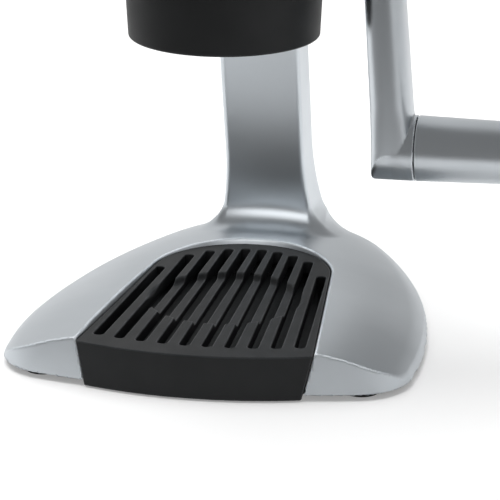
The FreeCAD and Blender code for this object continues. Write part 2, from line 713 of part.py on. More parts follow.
def neck_hollow(cone):
    """The room inside the neck, open below, with a boss left for each of its screws."""
    hollow = neck_block(NECK_WALL).cut(cone)
    for x, y in neck_screw_places():
        hollow = hollow.cut(post(NECK_BOSS_R, x, y, COLUMN_TOP_Z - 1, COLUMN_TOP_Z + NECK_BOSS_H))
    return hollow


def meeting_edges(shape, first, second):
    """The edges of a shape that lie on the surfaces of both of the blocks it was fused from."""
    found = []
    for edge in shape.Edges:
        spot = edge.valueAt((edge.FirstParameter + edge.LastParameter) / 2)
        vertex = Part.Vertex(spot)
        if all(vertex.distToShape(block.Shells[0])[0] < 0.02 for block in (first, second)):
            found.append(edge)
    return found


def head_housing():
    body = cone_z(
        housing_radius(HOUSING_BOTTOM_Z), housing_radius(HOUSING_TOP_Z), HOUSING_BOTTOM_Z, HOUSING_TOP_Z)
    cone = body
    neck = neck_block()
    right = rod(BOSS_R, BOSS_ROOT_X, BOSS_END_X)
    left = rod(LEFT_BOSS_R, -LEFT_BOSS_END_X, -BOSS_ROOT_X)
    body = fuse_all([cone, neck, right, left])
    body = body.makeFillet(NECK_BLEND, meeting_edges(body, cone, neck))
    body = body.makeFillet(BOSS_BLEND, meeting_edges(body, cone, right) + meeting_edges(body, cone, left))
    body = body.cut(neck_hollow(cone))
    body = body.cut(bore_cone(0, HOUSING_BOTTOM_Z - 1, HOUSING_TOP_Z + 1))
    body = body.cut(rod(BUSH_R + RUNNING_FIT, BOSS_ROOT_X, BOSS_END_X + 1))
    body = body.cut(rod(LEFT_BUSH_R + RUNNING_FIT, -LEFT_BOSS_END_X - 1, -BOSS_ROOT_X))
    for x, y in neck_screw_places():
        body = body.cut(post(NECK_SCREW_R, x, y, COLUMN_TOP_Z - 1, COLUMN_TOP_Z + NECK_SCREW_DEPTH + 1))
    return body


def neck_screws():
    screws = []
    under = COLUMN_TOP_Z - COLUMN_WEB
    for x, y in neck_screw_places():
        head = post(NECK_SCREW_HEAD_R, x, y, under - NECK_SCREW_HEAD_H, under)
        shank = post(NECK_SCREW_R - RUNNING_FIT, x, y, under - 1, COLUMN_TOP_Z + NECK_SCREW_DEPTH)
        screws.append(head.fuse(shank).removeSplitter())
    return Part.makeCompound(screws)


def chute_ring():
    top = HOUSING_BOTTOM_Z
    spigot_top = top + RING_SPIGOT_H
    outer = cone_z(RING_BOTTOM_R, head_radius(top), RING_BOTTOM_Z, top)
    spigot = bore_cone(HEAD_FIT, top, spigot_top)
    inner = cone_z(
        RING_BOTTOM_R - RING_WALL, head_radius(spigot_top) - RING_WALL, RING_BOTTOM_Z, spigot_top)
    return outer.fuse(spigot).removeSplitter().cut(inner)


def throat(grow, low_z, high_z):
    half_x, half_y = THROAT_HALF_X + grow, THROAT_HALF_Y + grow
    wire = rounded_rectangle(half_x, -half_y, half_y, THROAT_CORNER_R, THROAT_CORNER_R, low_z)
    return Part.Face(wire).extrude(Vector(0, 0, high_z - low_z))


def bearing_rods(grow):
    """Both bearings' bores through the wall of the head, grown by a radial amount."""
    return [
        rod(BUSH_R + grow, BOSS_ROOT_X, BOSS_END_X + 1),
        rod(LEFT_BUSH_R + grow, -LEFT_BOSS_END_X - 1, -BOSS_ROOT_X),
    ]


def hopper_liner(combs):
    """The inner cup: a funnel on a floor, and below it the throat's walls inside a round sleeve."""
    floor_z = FUNNEL_BOTTOM_Z - LINER_WALL
    rim_r = liner_radius(LINER_TOP_Z)
    cup = bore_cone(HEAD_FIT, LINER_BOTTOM_Z, FUNNEL_BOTTOM_Z)
    inside = bore_cone(HEAD_FIT + LINER_WALL, LINER_BOTTOM_Z - 1, floor_z)
    passage = throat(0, LINER_BOTTOM_Z - 1, floor_z).common(inside)
    hollow = inside.cut(throat(LINER_WALL, LINER_BOTTOM_Z - 2, floor_z + 1)).cut(bearing_rods(LINER_WALL))
    cup = cup.cut(passage).cut(hollow)
    funnel = cone_z(FUNNEL_MOUTH_R + LINER_WALL, rim_r + LINER_WALL, floor_z, LINER_TOP_Z)
    funnel = funnel.common(bore_cone(HEAD_FIT, floor_z, LINER_TOP_Z))
    mouth = cone_z(FUNNEL_MOUTH_R, rim_r, floor_z, LINER_TOP_Z)
    cup = cup.fuse(funnel).cut(mouth)
    return cup.cut(bearing_rods(RUNNING_FIT)).cut(combs)


def bush(outer_r, journal_r, start_x, end_x):
    """A plain ring that turns on a journal, or in which it turns."""
    return rod(outer_r, start_x, end_x).cut(rod(journal_r + RUNNING_FIT, start_x - 1, end_x + 1))


def end_cap():
    """A shallow dome that closes the left bearing."""
    start = -LEFT_BOSS_END_X
    radius = LEFT_BOSS_R - END_CAP_BORDER
    rim = Vector(start - END_CAP_EDGE, 0, HUB_Z + radius)
    top = Vector(start - END_CAP_EDGE - END_CAP_CROWN, 0, HUB_Z)
    out, drop = crown_point(radius, END_CAP_CROWN)
    middle = Vector(top.x + drop, 0, HUB_Z + out)
    outline = Part.Wire([
        line(Vector(start, 0, HUB_Z), Vector(start, 0, HUB_Z + radius)),
        line(Vector(start, 0, HUB_Z + radius), rim),
        arc(rim, middle, top),
        line(top, Vector(start, 0, HUB_Z)),
    ])
    return Part.Face(outline).revolve(Vector(0, 0, HUB_Z), Vector(1, 0, 0), 360)


def comb_plate():
    """One fixed comb: its teeth pass between the blades."""
    half_x = THROAT_HALF_X - COMB_SIDE_GAP
    half_gap = (BLADE_PITCH - COMB_TOOTH) / 2
    tip_r = SPACER_R + COMB_TIP_GAP
    tooth = BLADE_TIP_R + COMB_BACK_GAP - tip_r
    plate = box((-half_x, 0, -COMB_T / 2), (half_x, tooth + COMB_BACK, COMB_T / 2))
    for x in BLADE_PLACES:
        plate = plate.cut(box((x - half_gap, -1, -COMB_T), (x + half_gap, tooth, COMB_T)))
    plate.rotate(Vector(0, 0, 0), Vector(1, 0, 0), COMB_TILT)
    plate.translate(Vector(0, tip_r, HUB_Z - COMB_DROP))
    return plate.common(bore_cone(HEAD_FIT, HOUSING_BOTTOM_Z, HOUSING_TOP_Z))


def fixed_combs():
    rear = comb_plate()
    front = rear.mirror(Vector(0, 0, 0), Vector(0, 1, 0))
    return Part.makeCompound([front, rear])


# ---- rotor -----------------------------------------------------------------------------
def shaft_flats(grow, start_x, end_x):
    """A round rod with two flats."""
    half = SHAFT_FLATS / 2 + grow
    slab = box((start_x, -FAR, HUB_Z - half), (end_x, FAR, HUB_Z + half))
    return rod(SHAFT_R + grow, start_x, end_x).common(slab)


def rotor_shaft():
    """Journal, flats for the blades, collar, journal, flats for the crank and thread."""
    return fuse_all([
        rod(LEFT_JOURNAL_R, LEFT_SHAFT_GAP - LEFT_BOSS_END_X, -STACK_END_X),
        shaft_flats(0, -STACK_END_X, STACK_END_X),
        rod(COLLAR_R, STACK_END_X, STACK_END_X + COLLAR_T),
        rod(RIGHT_JOURNAL_R, STACK_END_X + COLLAR_T, HUB_START_X),
        shaft_flats(0, HUB_START_X, SEAT_END_X),
        rod(THREAD_R, SEAT_END_X, SEAT_END_X + NUT_T + THREAD_END),
    ])


def blade(x, turn):
    """A star with hooked teeth."""
    corners = []
    pitch = 360.0 / BLADE_TEETH
    radii = (BLADE_ROOT_R, BLADE_TIP_R, BLADE_TIP_R, BLADE_ROOT_R)
    for i in range(BLADE_TEETH):
        for radius, angle in zip(radii, TOOTH_ANGLES):
            y, z = polar(radius, turn + i * pitch + angle)
            corners.append(Vector(x - BLADE_T / 2, y, HUB_Z + z))
    face = Part.Face(Part.makePolygon(corners + [corners[0]]))
    star = face.extrude(Vector(BLADE_T, 0, 0))
    return star.cut(shaft_flats(RUNNING_FIT, x - BLADE_T, x + BLADE_T))


def rotor_blades():
    """The blades, each turned a little further, so that their teeth bite one after another."""
    step = 360.0 / BLADE_TEETH / len(BLADE_PLACES)
    return Part.makeCompound([blade(x, i * step) for i, x in enumerate(BLADE_PLACES)])


def rotor_spacers():
    edges = [-STACK_END_X]
    for x in BLADE_PLACES:
        edges += [x - BLADE_T / 2, x + BLADE_T / 2]
    edges.append(STACK_END_X)
    rings = []
    for start, end in zip(edges[::2], edges[1::2]):
        hole = shaft_flats(RUNNING_FIT, start - 1, end + 1)
        rings.append(rod(SPACER_R, start, end).cut(hole))
    return Part.makeCompound(rings)


def hexagon(half_af, start_x, end_x):
    radius = half_af / math.cos(math.radians(30))
    corners = []
    for i in range(6):
        y, z = polar(radius, 60 * i)
        corners.append(Vector(start_x, y, HUB_Z + z))
    return Part.Face(Part.makePolygon(corners + [corners[0]])).extrude(Vector(end_x - start_x, 0, 0))


def rotor_nut():
    start, end = -STACK_END_X - ROTOR_NUT_T, -STACK_END_X
    return hexagon(ROTOR_NUT_HALF_AF, start, end).cut(rod(LEFT_JOURNAL_R, start - 1, end + 1))


# ---- crank -----------------------------------------------------------------------------
def superellipse(centre, half_x, half_y, power, count=24):
    """A closed curve between an ellipse and a box, in a level plane."""
    points = []
    for i in range(count):
        cosine, sine = polar(1.0, 360.0 * i / count)
        size = (abs(cosine) ** power + abs(sine) ** power) ** (-1.0 / power)
        points.append(centre + Vector(half_x * cosine * size, half_y * sine * size, 0))
    curve = Part.BSplineCurve()
    curve.interpolate(points, True)
    return Part.Wire([curve.toShape()])


def arm_bar():
    """The leaning bar of the crank, tapered by level sections that end below the grip's axis."""
    wires = []
    for part in (0.0, 0.25, 0.5, 0.75, 1.0, 1.0 + GRIP_R / CRANK_RADIUS):
        out = ARM_TOP_OUT + (ARM_BOTTOM_OUT - ARM_TOP_OUT) * part
        centre = Vector(HUB_START_X + out, 0, HUB_Z - CRANK_RADIUS * part)
        half_x = ARM_TOP_HALF[0] + (ARM_BOTTOM_HALF[0] - ARM_TOP_HALF[0]) * part
        half_y = ARM_TOP_HALF[1] + (ARM_BOTTOM_HALF[1] - ARM_TOP_HALF[1]) * part
        power = ARM_TOP_POWER + (ARM_BOTTOM_POWER - ARM_TOP_POWER) * part
        wires.append(superellipse(centre, half_x, half_y, power))
    return Part.makeLoft(wires, True, False)


def elbow_edges(shape, end_x):
    """The outer edges of the elbow: where the bar meets the round of the stub, short of end_x."""
    found = []
    for edge in shape.Edges:
        middle = edge.valueAt((edge.FirstParameter + edge.LastParameter) / 2)
        off_axis = math.hypot(middle.y, middle.z - GRIP_Z)
        if abs(off_axis - GRIP_R) < 0.02 and middle.x < end_x - 0.5 and abs(middle.y) > 0.5:
            found.append(edge)
    return found


def crank_arm():
    """Hub, arm and elbow stub in one casting: the bar is mitred into the round of the stub."""
    stub_start = HUB_START_X + ARM_BOTTOM_OUT
    upper = box((0, -FAR, GRIP_Z), (STUB_END_X, FAR, FAR))
    bar = arm_bar().common(upper.fuse(rod(GRIP_R, 0, stub_start, z=GRIP_Z)))
    bar = bar.makeFillet(ELBOW_R, elbow_edges(bar, stub_start))
    hub = rod(HUB_R, HUB_START_X, HUB_END_X)
    hub = hub.makeFillet(HUB_EDGE_R, [edge for edge in hub.Edges if edge.BoundBox.XLength < 0.1])
    stub = rod(GRIP_R, stub_start, STUB_END_X, z=GRIP_Z)
    holes = [
        shaft_flats(RUNNING_FIT, HUB_START_X - 1, HUB_END_X + 1),
        rod(NUT_POCKET_R, SEAT_END_X, HUB_END_X + 1),
        rod(SPINDLE_R, STUB_END_X - SPINDLE_SEAT, STUB_END_X + 1, z=GRIP_Z),
    ]
    return bar.fuse(hub).fuse(stub).cut(holes)


def thrust_washer():
    return bush(WASHER_R, RIGHT_JOURNAL_R, HUB_START_X - WASHER_T, HUB_START_X)


def crank_nut():
    end = SEAT_END_X + NUT_T
    return hexagon(NUT_HALF_AF, SEAT_END_X, end).cut(rod(THREAD_R, SEAT_END_X - 1, end + 1))


def hub_cap():
    """A button pressed into the nut's pocket."""
    plug = rod(NUT_POCKET_R - CAP_FIT, HUB_END_X - CAP_PLUG, HUB_END_X)
    disc = rod(HUB_R - CAP_BORDER, HUB_END_X, HUB_END_X + CAP_T)
    rim = [edge for edge in disc.Edges if edge.BoundBox.XMin > HUB_END_X + 0.1]
    return disc.makeFillet(CAP_EDGE_R, rim).fuse(plug).removeSplitter()


def grip():
    """The tapered handle that turns on its spindle."""
    start, end = GRIP_START_X, GRIP_END_X
    body = Part.makeCone(GRIP_R, GRIP_TAIL_R, GRIP_LENGTH, Vector(start, 0, GRIP_Z), Vector(1, 0, 0))
    body = body.makeFillet(GRIP_END_FILLET, [edge for edge in body.Edges if edge.BoundBox.XMin > end - 0.1])
    body = body.cut(rod(SPINDLE_R + RUNNING_FIT, start - 1, end + 1, z=GRIP_Z))
    return body.cut(rod(SPINDLE_HEAD_R + GRIP_CAP_GAP, SPINDLE_HEAD_X - SPINDLE_PLAY, end + 1, z=GRIP_Z))


def grip_spindle():
    shank = rod(SPINDLE_R, STUB_END_X - SPINDLE_SEAT, SPINDLE_HEAD_X, z=GRIP_Z)
    head = rod(SPINDLE_HEAD_R, SPINDLE_HEAD_X, SPINDLE_HEAD_X + SPINDLE_HEAD_T, z=GRIP_Z)
    return shank.fuse(head).removeSplitter()


def grip_cap():
    """A disc pressed into the end of the grip, over the spindle's head."""
    radius = SPINDLE_HEAD_R + GRIP_CAP_GAP
    return rod(radius, GRIP_END_X - GRIP_CAP_T, GRIP_END_X + GRIP_CAP_PROUD, z=GRIP_Z)


# ---- lid ---------------------------------------------------------------------------------
def lid():
    """A crowned lid with a skirt that centres it in the mouth of the housing."""
    low = LID_LOW_Z
    edge_r = housing_radius(HOUSING_TOP_Z)

    def dome(drop, radius):
        out, fall = crown_point(radius, LID_CROWN)
        rim = Vector(radius, 0, LID_TOP_Z - LID_CROWN - drop)
        return rim, Vector(out, 0, LID_TOP_Z - fall - drop), Vector(0, 0, LID_TOP_Z - drop)

    rim, middle, top = dome(0, edge_r)
    under_rim, under_middle, under_top = dome(LID_WALL, LID_SKIRT_R - LID_WALL)
    foot = low - LID_SKIRT_H
    edges = [
        line(Vector(LID_SKIRT_R, 0, low), Vector(edge_r, 0, low)),
        line(Vector(edge_r, 0, low), rim),
        arc(rim, middle, top),
        line(top, under_top),
        arc(under_top, under_middle, under_rim),
        line(under_rim, Vector(under_rim.x, 0, foot)),
        line(Vector(under_rim.x, 0, foot), Vector(LID_SKIRT_R, 0, foot)),
        line(Vector(LID_SKIRT_R, 0, foot), Vector(LID_SKIRT_R, 0, low)),
    ]
    shell = Part.Face(Part.Wire(edges)).revolve(Vector(0, 0, 0), Vector(0, 0, 1), 360)
    shell = shell.cut(post(LID_FLAT_R, 0, 0, low, LID_TOP_Z - LID_WALL))
    return shell.cut(post(LID_SCREW_R + SCREW_CLEARANCE, 0, 0, low, LID_TOP_Z + 1))


def lid_seal():
    """A flat ring round the skirt, between lid and housing."""
    high = LID_LOW_Z - SEAL_DROP
    ring = post(LID_SKIRT_R + SEAL_PROUD, 0, 0, high - SEAL_T, high)
    return ring.cut(post(LID_SKIRT_R, 0, 0, high - SEAL_T - 1, high + 1))


def lid_knob():
    """A turned knob: flared foot, waist, round edge and a crowned top."""
    def at(radius, height):
        return Vector(radius, 0, LID_TOP_Z + height)

    foot, waist = at(KNOB_STEM_R + KNOB_FOOT, 0), at(KNOB_STEM_R, 0.3 * KNOB_H)
    edge_h = KNOB_H - KNOB_CROWN
    shoulder = at(KNOB_R - KNOB_EDGE_R, edge_h)
    under = at(KNOB_R - KNOB_EDGE_R, edge_h - 2 * KNOB_EDGE_R)
    out, fall = crown_point(shoulder.x, KNOB_CROWN)
    outline = Part.Wire([
        line(at(0, 0), foot),
        arc(foot, at(KNOB_STEM_R + KNOB_FOOT / 4, 0.13 * KNOB_H), waist),
        line(waist, under),
        arc(under, at(KNOB_R, edge_h - KNOB_EDGE_R), shoulder),
        arc(shoulder, at(out, KNOB_H - fall), at(0, KNOB_H)),
        line(at(0, KNOB_H), at(0, 0)),
    ])
    body = Part.Face(outline).revolve(Vector(0, 0, 0), Vector(0, 0, 1), 360)
    return body.cut(post(LID_SCREW_R, 0, 0, LID_TOP_Z - 1, LID_TOP_Z + LID_SCREW_REACH + 1))


def lid_screw():
    under = LID_TOP_Z - LID_WALL
    head = post(LID_SCREW_HEAD_R, 0, 0, under - LID_SCREW_HEAD_H, under)
    shank = post(LID_SCREW_R - RUNNING_FIT, 0, 0, under - 1, LID_TOP_Z + LID_SCREW_REACH)
    return head.fuse(shank).removeSplitter()


# ---- all pieces --------------------------------------------------------------------------
def build():
    os.makedirs("parts", exist_ok=True)
    combs = fixed_combs()
    pieces = {
        "stand": stand(),
        "base_plate": base_plate(),
        "base_screws": base_screws(),
        "feet": feet(),
        "head_housing": head_housing(),
        "neck_screws": neck_screws(),
        "chute_ring": chute_ring(),
        "hopper_liner": hopper_liner(combs),
        "fixed_combs": combs,
        "bearing_right": bush(BUSH_R, RIGHT_JOURNAL_R, THROAT_HALF_X - BUSH_REACH, BOSS_END_X),
        "bearing_left": bush(LEFT_BUSH_R, LEFT_JOURNAL_R, -LEFT_BOSS_END_X, BUSH_REACH - THROAT_HALF_X),
        "end_cap": end_cap(),
        "rotor_shaft": rotor_shaft(),
        "rotor_blades": rotor_blades(),
        "rotor_spacers": rotor_spacers(),
        "rotor_nut": rotor_nut(),
        "thrust_washer": thrust_washer(),
        "crank_arm": crank_arm(),
        "crank_nut": crank_nut(),
        "hub_cap": hub_cap(),
        "grip_spindle": grip_spindle(),
        "grip": grip(),
        "grip_cap": grip_cap(),
        "drip_tray": drip_tray(),
        "drip_grille": drip_grille(),
        "lid": lid(),
        "lid_seal": lid_seal(),
        "lid_knob": lid_knob(),
        "lid_screw": lid_screw(),
    }
    for name, shape in pieces.items():
        save(name, shape)


build()
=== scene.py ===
import json
import math

import bpy
import numpy as np
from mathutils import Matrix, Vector

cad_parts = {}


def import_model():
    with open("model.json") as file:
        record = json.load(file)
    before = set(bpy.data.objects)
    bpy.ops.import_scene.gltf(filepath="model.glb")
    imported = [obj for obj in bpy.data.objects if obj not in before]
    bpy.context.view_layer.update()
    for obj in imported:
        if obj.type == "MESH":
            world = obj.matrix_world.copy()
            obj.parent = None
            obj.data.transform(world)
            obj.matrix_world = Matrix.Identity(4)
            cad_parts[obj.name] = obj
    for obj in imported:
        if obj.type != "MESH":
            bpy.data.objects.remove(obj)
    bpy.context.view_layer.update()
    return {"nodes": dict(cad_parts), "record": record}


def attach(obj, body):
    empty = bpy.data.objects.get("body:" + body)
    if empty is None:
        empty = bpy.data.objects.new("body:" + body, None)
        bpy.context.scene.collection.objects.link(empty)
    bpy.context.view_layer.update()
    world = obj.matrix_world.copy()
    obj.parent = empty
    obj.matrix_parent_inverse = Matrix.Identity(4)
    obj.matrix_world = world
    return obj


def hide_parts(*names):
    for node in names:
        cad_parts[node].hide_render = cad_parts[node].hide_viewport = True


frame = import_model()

# Hand-cranked ice crusher.  The shapes are worked out in millimetres, in the frame of
# the CAD model: +Z up, +X towards the crank, +Y towards the column, the origin on the
# underside of the base below the ice outlet.  The meshes are made in metres.  The castings,
# the tray and the screws are the surfaces of distance fields, which give them their blends
# and roundings.  The round pieces are turned outlines.  All others are the CAD model's own.

MM = 0.001


def tan(degrees):
    return math.tan(math.radians(degrees))


def cos(degrees):
    return math.cos(math.radians(degrees))


def sin(degrees):
    return math.sin(math.radians(degrees))


# ---- sizes, in millimetres and degrees: those of the CAD model -------------------------------
BASE_HALF_WIDTH, BASE_WIDEST_Y = 92.6, -18.0
BASE_FRONT_Y, BASE_FRONT_R, BASE_CORNER_R = -74.3, 300.0, 27.0
BASE_REAR_R, BASE_TAIL = 64.0, 20.4
SKIRT_LEAN = 9.0
DECK_Z, RIM_DROP, RIM_BAND, ROLL_DROP, ROLL_BAND = 19.9, 15.8, 50.0, 1.8, 8.0
SHELL, PLATE_T = 2.6, 2.0

COLUMN_HALF_WIDTH, COLUMN_DEPTH, COLUMN_FOOT_Y, COLUMN_LEAN = 19.0, 33.5, 103.0, 14.7
COLUMN_FRONT_EDGE_R, COLUMN_REAR_EDGE_R = 2.5, 9.0
COLUMN_FLARE_H = 40.1

PLATE_SCREW_INSET, PLATE_SCREW_YS, PLATE_SCREW_SINK = 20.0, (-36.0, 30.0, 96.0), 0.2
PLATE_SCREW_HEAD_R, PLATE_SCREW_R, PLATE_SCREW_LENGTH = 2.8, 1.5, 7.8
FOOT_INSET, FOOT_FROM_FRONT, FOOT_FROM_TAIL = 19.7, 21.3, 37.9
FOOT_R, FOOT_SEAT, FOOT_DROP = 8.0, 1.0, 2.4
TABLE_Z = -FOOT_DROP

TRAY_SINK, TRAY_REAR_R, TRAY_REAR_Y, TRAY_FAN = 2.4, 41.8, 36.0, 5.6
TRAY_TOP_Z = DECK_Z - TRAY_SINK
TRAY_FRONT_Y, TRAY_FRONT_R = -76.4, 165.0
TRAY_SIDE_SLANT, TRAY_FRONT_SLANT = 14.0, 6.6
PAN_GAP, PAN_WALL = 0.3, 1.8
FASCIA_CLEARANCE, FASCIA_T = 0.8, 3.5
FASCIA_LOW_Z = TABLE_Z + FASCIA_CLEARANCE
GRILLE_T, LIP_T, LIP_H, LIP_ROOT = 6.0, 1.5, 2.0, 1.0
SEAT_R, SEAT_DEPTH, SEAT_SLOPE = 33.0, 2.5, 40.0
SLOT_COUNT, SLOT_HALF_WIDTH = 10, 2.3
SLOT_SIDE_BORDER, SLOT_BORDER, SLOT_FAN_Y = 7.7, 11.5, 580.0
SLOT_REAR_BORDER, SLOT_REAR_GAP = 3.5, 6.0

GLASS_ROOM, RING_H, HOUSING_H = 122.0, 29.1, 91.0
RING_BOTTOM_Z = TRAY_TOP_Z + GLASS_ROOM
HOUSING_BOTTOM_Z = RING_BOTTOM_Z + RING_H
HOUSING_TOP_Z = HOUSING_BOTTOM_Z + HOUSING_H
RING_BOTTOM_R, RING_WALL, RING_SPIGOT_H = 42.0, 3.2, 7.0
HEAD_DRAFT, HOUSING_STEP, HOUSING_WALL, HEAD_FIT = 3.0, 1.4, 2.6, 0.15
HUB_RISE, COLUMN_RISE, NECK_DROP = 29.0, 5.0, 7.6
HUB_Z = HOUSING_BOTTOM_Z + HUB_RISE
COLUMN_TOP_Z = HOUSING_BOTTOM_Z + COLUMN_RISE
NECK_TOP_Z = HOUSING_TOP_Z - NECK_DROP
NECK_ROOT, NECK_SINK, NECK_FRONT_HASTE, NECK_BACK_BOW, NECK_BLEND = 12.0, 2.5, 2.2, 0.55, 5.0
BOSS_R, BOSS_REACH, LEFT_BOSS_R, LEFT_BOSS_REACH, BOSS_BLEND = 19.0, 12.0, 15.0, 7.5, 3.0
BUSH_R, LEFT_BUSH_R = 9.0, 7.0
END_CAP_BORDER, END_CAP_EDGE, END_CAP_CROWN = 1.0, 1.2, 2.4


def head_radius(z):
    return RING_BOTTOM_R + (z - RING_BOTTOM_Z) * tan(HEAD_DRAFT)


def housing_radius(z):
    return head_radius(z) + HOUSING_STEP


def bore_radius(z):
    return housing_radius(z) - HOUSING_WALL


BOSS_END_X = housing_radius(HUB_Z) + BOSS_REACH
LEFT_BOSS_END_X = housing_radius(HUB_Z) + LEFT_BOSS_REACH

HUB_START_X, STUB_END_X = 59.645, 85.945
HUB_LENGTH, HUB_R, HUB_EDGE_R = 18.9, 17.0, 1.5
HUB_END_X = HUB_START_X + HUB_LENGTH
CRANK_RADIUS = 105.3
GRIP_Z = HUB_Z - CRANK_RADIUS
ARM_TOP_OUT, ARM_BOTTOM_OUT = 8.5, 16.3
ARM_TOP_HALF = (8.2, 14.4)
ARM_TOP_POWER, ARM_BOTTOM_POWER = 2.4, 2.8
GRIP_GAP, GRIP_LENGTH, GRIP_R, GRIP_TAIL_R, GRIP_END_FILLET = 0.5, 95.0, 14.45, 12.6, 4.0
GRIP_START_X = STUB_END_X + GRIP_GAP
GRIP_END_X = GRIP_START_X + GRIP_LENGTH
GRIP_BORE_R, GRIP_POCKET_DEPTH = 4.05, 8.4
GRIP_CAP_R, GRIP_CAP_T, GRIP_CAP_PROUD = 7.5, 3.0, 0.4
CAP_BORDER, CAP_T, CAP_EDGE_R = 3.5, 2.4, 1.6
CAP_PLUG_R, CAP_PLUG = 9.9, 0.8

LID_GAP, LID_EDGE_H, LID_CROWN, LID_WALL = 0.3, 4.0, 9.0, 2.4
LID_LOW_Z = HOUSING_TOP_Z + LID_GAP
LID_TOP_Z = LID_LOW_Z + LID_EDGE_H + LID_CROWN
LID_SKIRT_R, LID_SKIRT_H = 45.24, 9.0
LID_SCREW_HEAD_R, LID_SCREW_HEAD_H = 3.8, 2.6
KNOB_R, KNOB_STEM_R, KNOB_H, KNOB_FOOT, KNOB_EDGE_R, KNOB_CROWN = 14.0, 7.0, 20.0, 2.0, 2.5, 2.0

# ---- sizes that the finished pieces have in place of the CAD model's -------------------------
REAR_SOFTER, REAR_SHIFT, REAR_RUN = 10.0, 1.5, (-25.0, 50.0)    # the deck falls earlier behind
RIM_LOW_Z = 1.6             # where that fall ends
COLUMN_FLARE, FOOT_FILLET = 4.2, 13.0
PLATE_SEAT_PLAY = 0.1       # above the base plate, in the stand
PLATE_SEAT_RIM_Z, PLATE_SEAT_RISE = 1.0, 0.5    # the seat is lower at the rim
POCKET_GAP, PLATE_SCREW_HEAD_H = 0.3, 1.2
SLOT_LEAST_WALL = 1.8       # between the outermost slots and the leaning sides
ARM_BOTTOM_HALF, ELBOW_POWER = (9.3, 14.45), 4.2
ELBOW_SQUARE_RUN = (22.0, -10.0)    # about the grip's axis, the arm's section grows squarer
LID_HOLE_R, LID_SCREW_R, LID_SCREW_LENGTH, KNOB_BORE_R = 2.2, 1.9, 14.0, 2.0
KNOB_FOOT_TOP, KNOB_WAIST, KNOB_WAIST_R = 0.13, 0.3, 6.0    # heights as shares of the knob's
KNOB_ARC, KNOB_ARC_STEPS = (-70, 80), 10
FOOT_HOLLOW, FOOT_HOLLOW_R, FOOT_HOLLOW_MOUTH_R = 0.4, 4.6, 5.2
FOOT_GROOVE, FOOT_GROOVE_MOUTH, FOOT_GROOVE_FLOOR = 0.3, (-1.1, -0.4), (-0.9, -0.6)
THREAD_PITCH, THREAD_DEPTH = 0.8, 0.25
RECESS_REACH, RECESS_WIDTH, RECESS_DEPTH = 0.6, 0.3, 0.6    # shares of head radius, reach, height
RECESS_TAPER = 12.0

# ---- roundings that the CAD model lacks ------------------------------------------------------
CREASE_R, SIDE_CREASE_R, CREASE_RUN = 0.7, 1.8, (-62.0, -40.0)    # deck to rim: front, sides
BOTTOM_EDGE_R = 0.3
POCKET_EDGE_R, POCKET_FRONT_EDGE_R, POCKET_EDGE_RUN = 0.9, 0.6, (-68.0, -58.0)
SEAM_EDGE_R = 0.5           # where two castings meet
HOUSING_EDGE_R, HUB_BLEND = 1.0, 1.0
JOINT_EDGE_R = 0.3          # where the grip meets the elbow
SHARP_R, FASCIA_EDGE_R = 0.5, 0.65    # moulded edges of the tray, upright edges of its fascia
PAN_EDGE_R, PAN_INNER_EDGE_R = 1.0, 1.5
SEAT_EDGE_R = 0.8
ARM_CREASE_R = 0.4          # inner corner of the elbow, fading out on the sides
ELBOW_R, ELBOW_R_RUN = 1.6, 8.0     # its outer corner, which starts as a sharp one
SCREW_EDGE_R, SCREW_TIP_R, RECESS_EDGE_R = 0.35, 0.3, 0.05
FITTED_R = 0.2              # edges that fit against another piece
RING_EDGE_R, RING_STEP_R, RING_SPIGOT_R = 1.0, 0.3, 0.4
END_CAP_R, END_CAP_FLAT = 0.5, 0.6
BUTTON_R = 0.4              # the grip's button and its pocket
LID_FOOT_R, LID_UNDER_R, LID_RIM_R, KNOB_FOOT_R = 0.5, 0.6, 1.4, 0.4
FOOT_HOLLOW_EDGE_R, FOOT_SOLE_R, FOOT_GROOVE_R = 0.3, 0.7, 0.1
LEAST_R = 0.01

# ---- how finely the meshes are worked out ----------------------------------------------------
GRADIENT_REACH = 0.04
LEAST_STEEPNESS = 0.2       # squared, where a field is creased
BEND_REACH, FULL_BEND = 0.7, 1.5    # FULL_BEND is a curvature, per millimetre
SCREW_STEP, SCREW_MARGIN, SCREW_BEND_REACH = 0.25, 0.5, 0.15
ARC_STEP = 12.0             # degrees between points on a small rounding
HOLD = 0.3                  # points this far beside a rounding keep the long faces straight
ROUNDING_SHARE = 0.45       # of an edge, which a rounding may take up
ON_AXIS, TINY, LEAST_SHARE, FAR = 1e-6, 1e-9, 1e-3, 1e3


# ---- fields: distance in millimetres, below zero inside --------------------------------------
def hypot(*parts):
    return np.sqrt(sum(part * part for part in parts))


def soft_step(value, low, high):
    share = np.clip((value - low) / (high - low), 0, 1)
    return share * share * (3 - 2 * share)


def round_union(a, b, radius):
    """Two bodies with a fillet between them."""
    fillet = hypot(np.maximum(radius - a, 0), np.maximum(radius - b, 0))
    return np.maximum(radius, np.minimum(a, b)) - fillet


def round_common(a, b, radius):
    """What two bodies share, with a rounded edge."""
    edge = hypot(np.maximum(radius + a, 0), np.maximum(radius + b, 0))
    return np.minimum(-radius, np.maximum(a, b)) + edge


def rounded_rectangle(x, y, half_x, half_y, radius):
    across, along = abs(x) - half_x + radius, abs(y) - half_y + radius
    corner = hypot(np.maximum(across, 0), np.maximum(along, 0))
    return np.minimum(np.maximum(across, along), 0) + corner - radius


def rod_field(x, y, z, radius, start_x, end_x, axis_z, edge_r):
    """A cylinder along X with rounded ends."""
    return round_common(
        hypot(y, z - axis_z) - radius, np.maximum(start_x - x, x - end_x), edge_r)


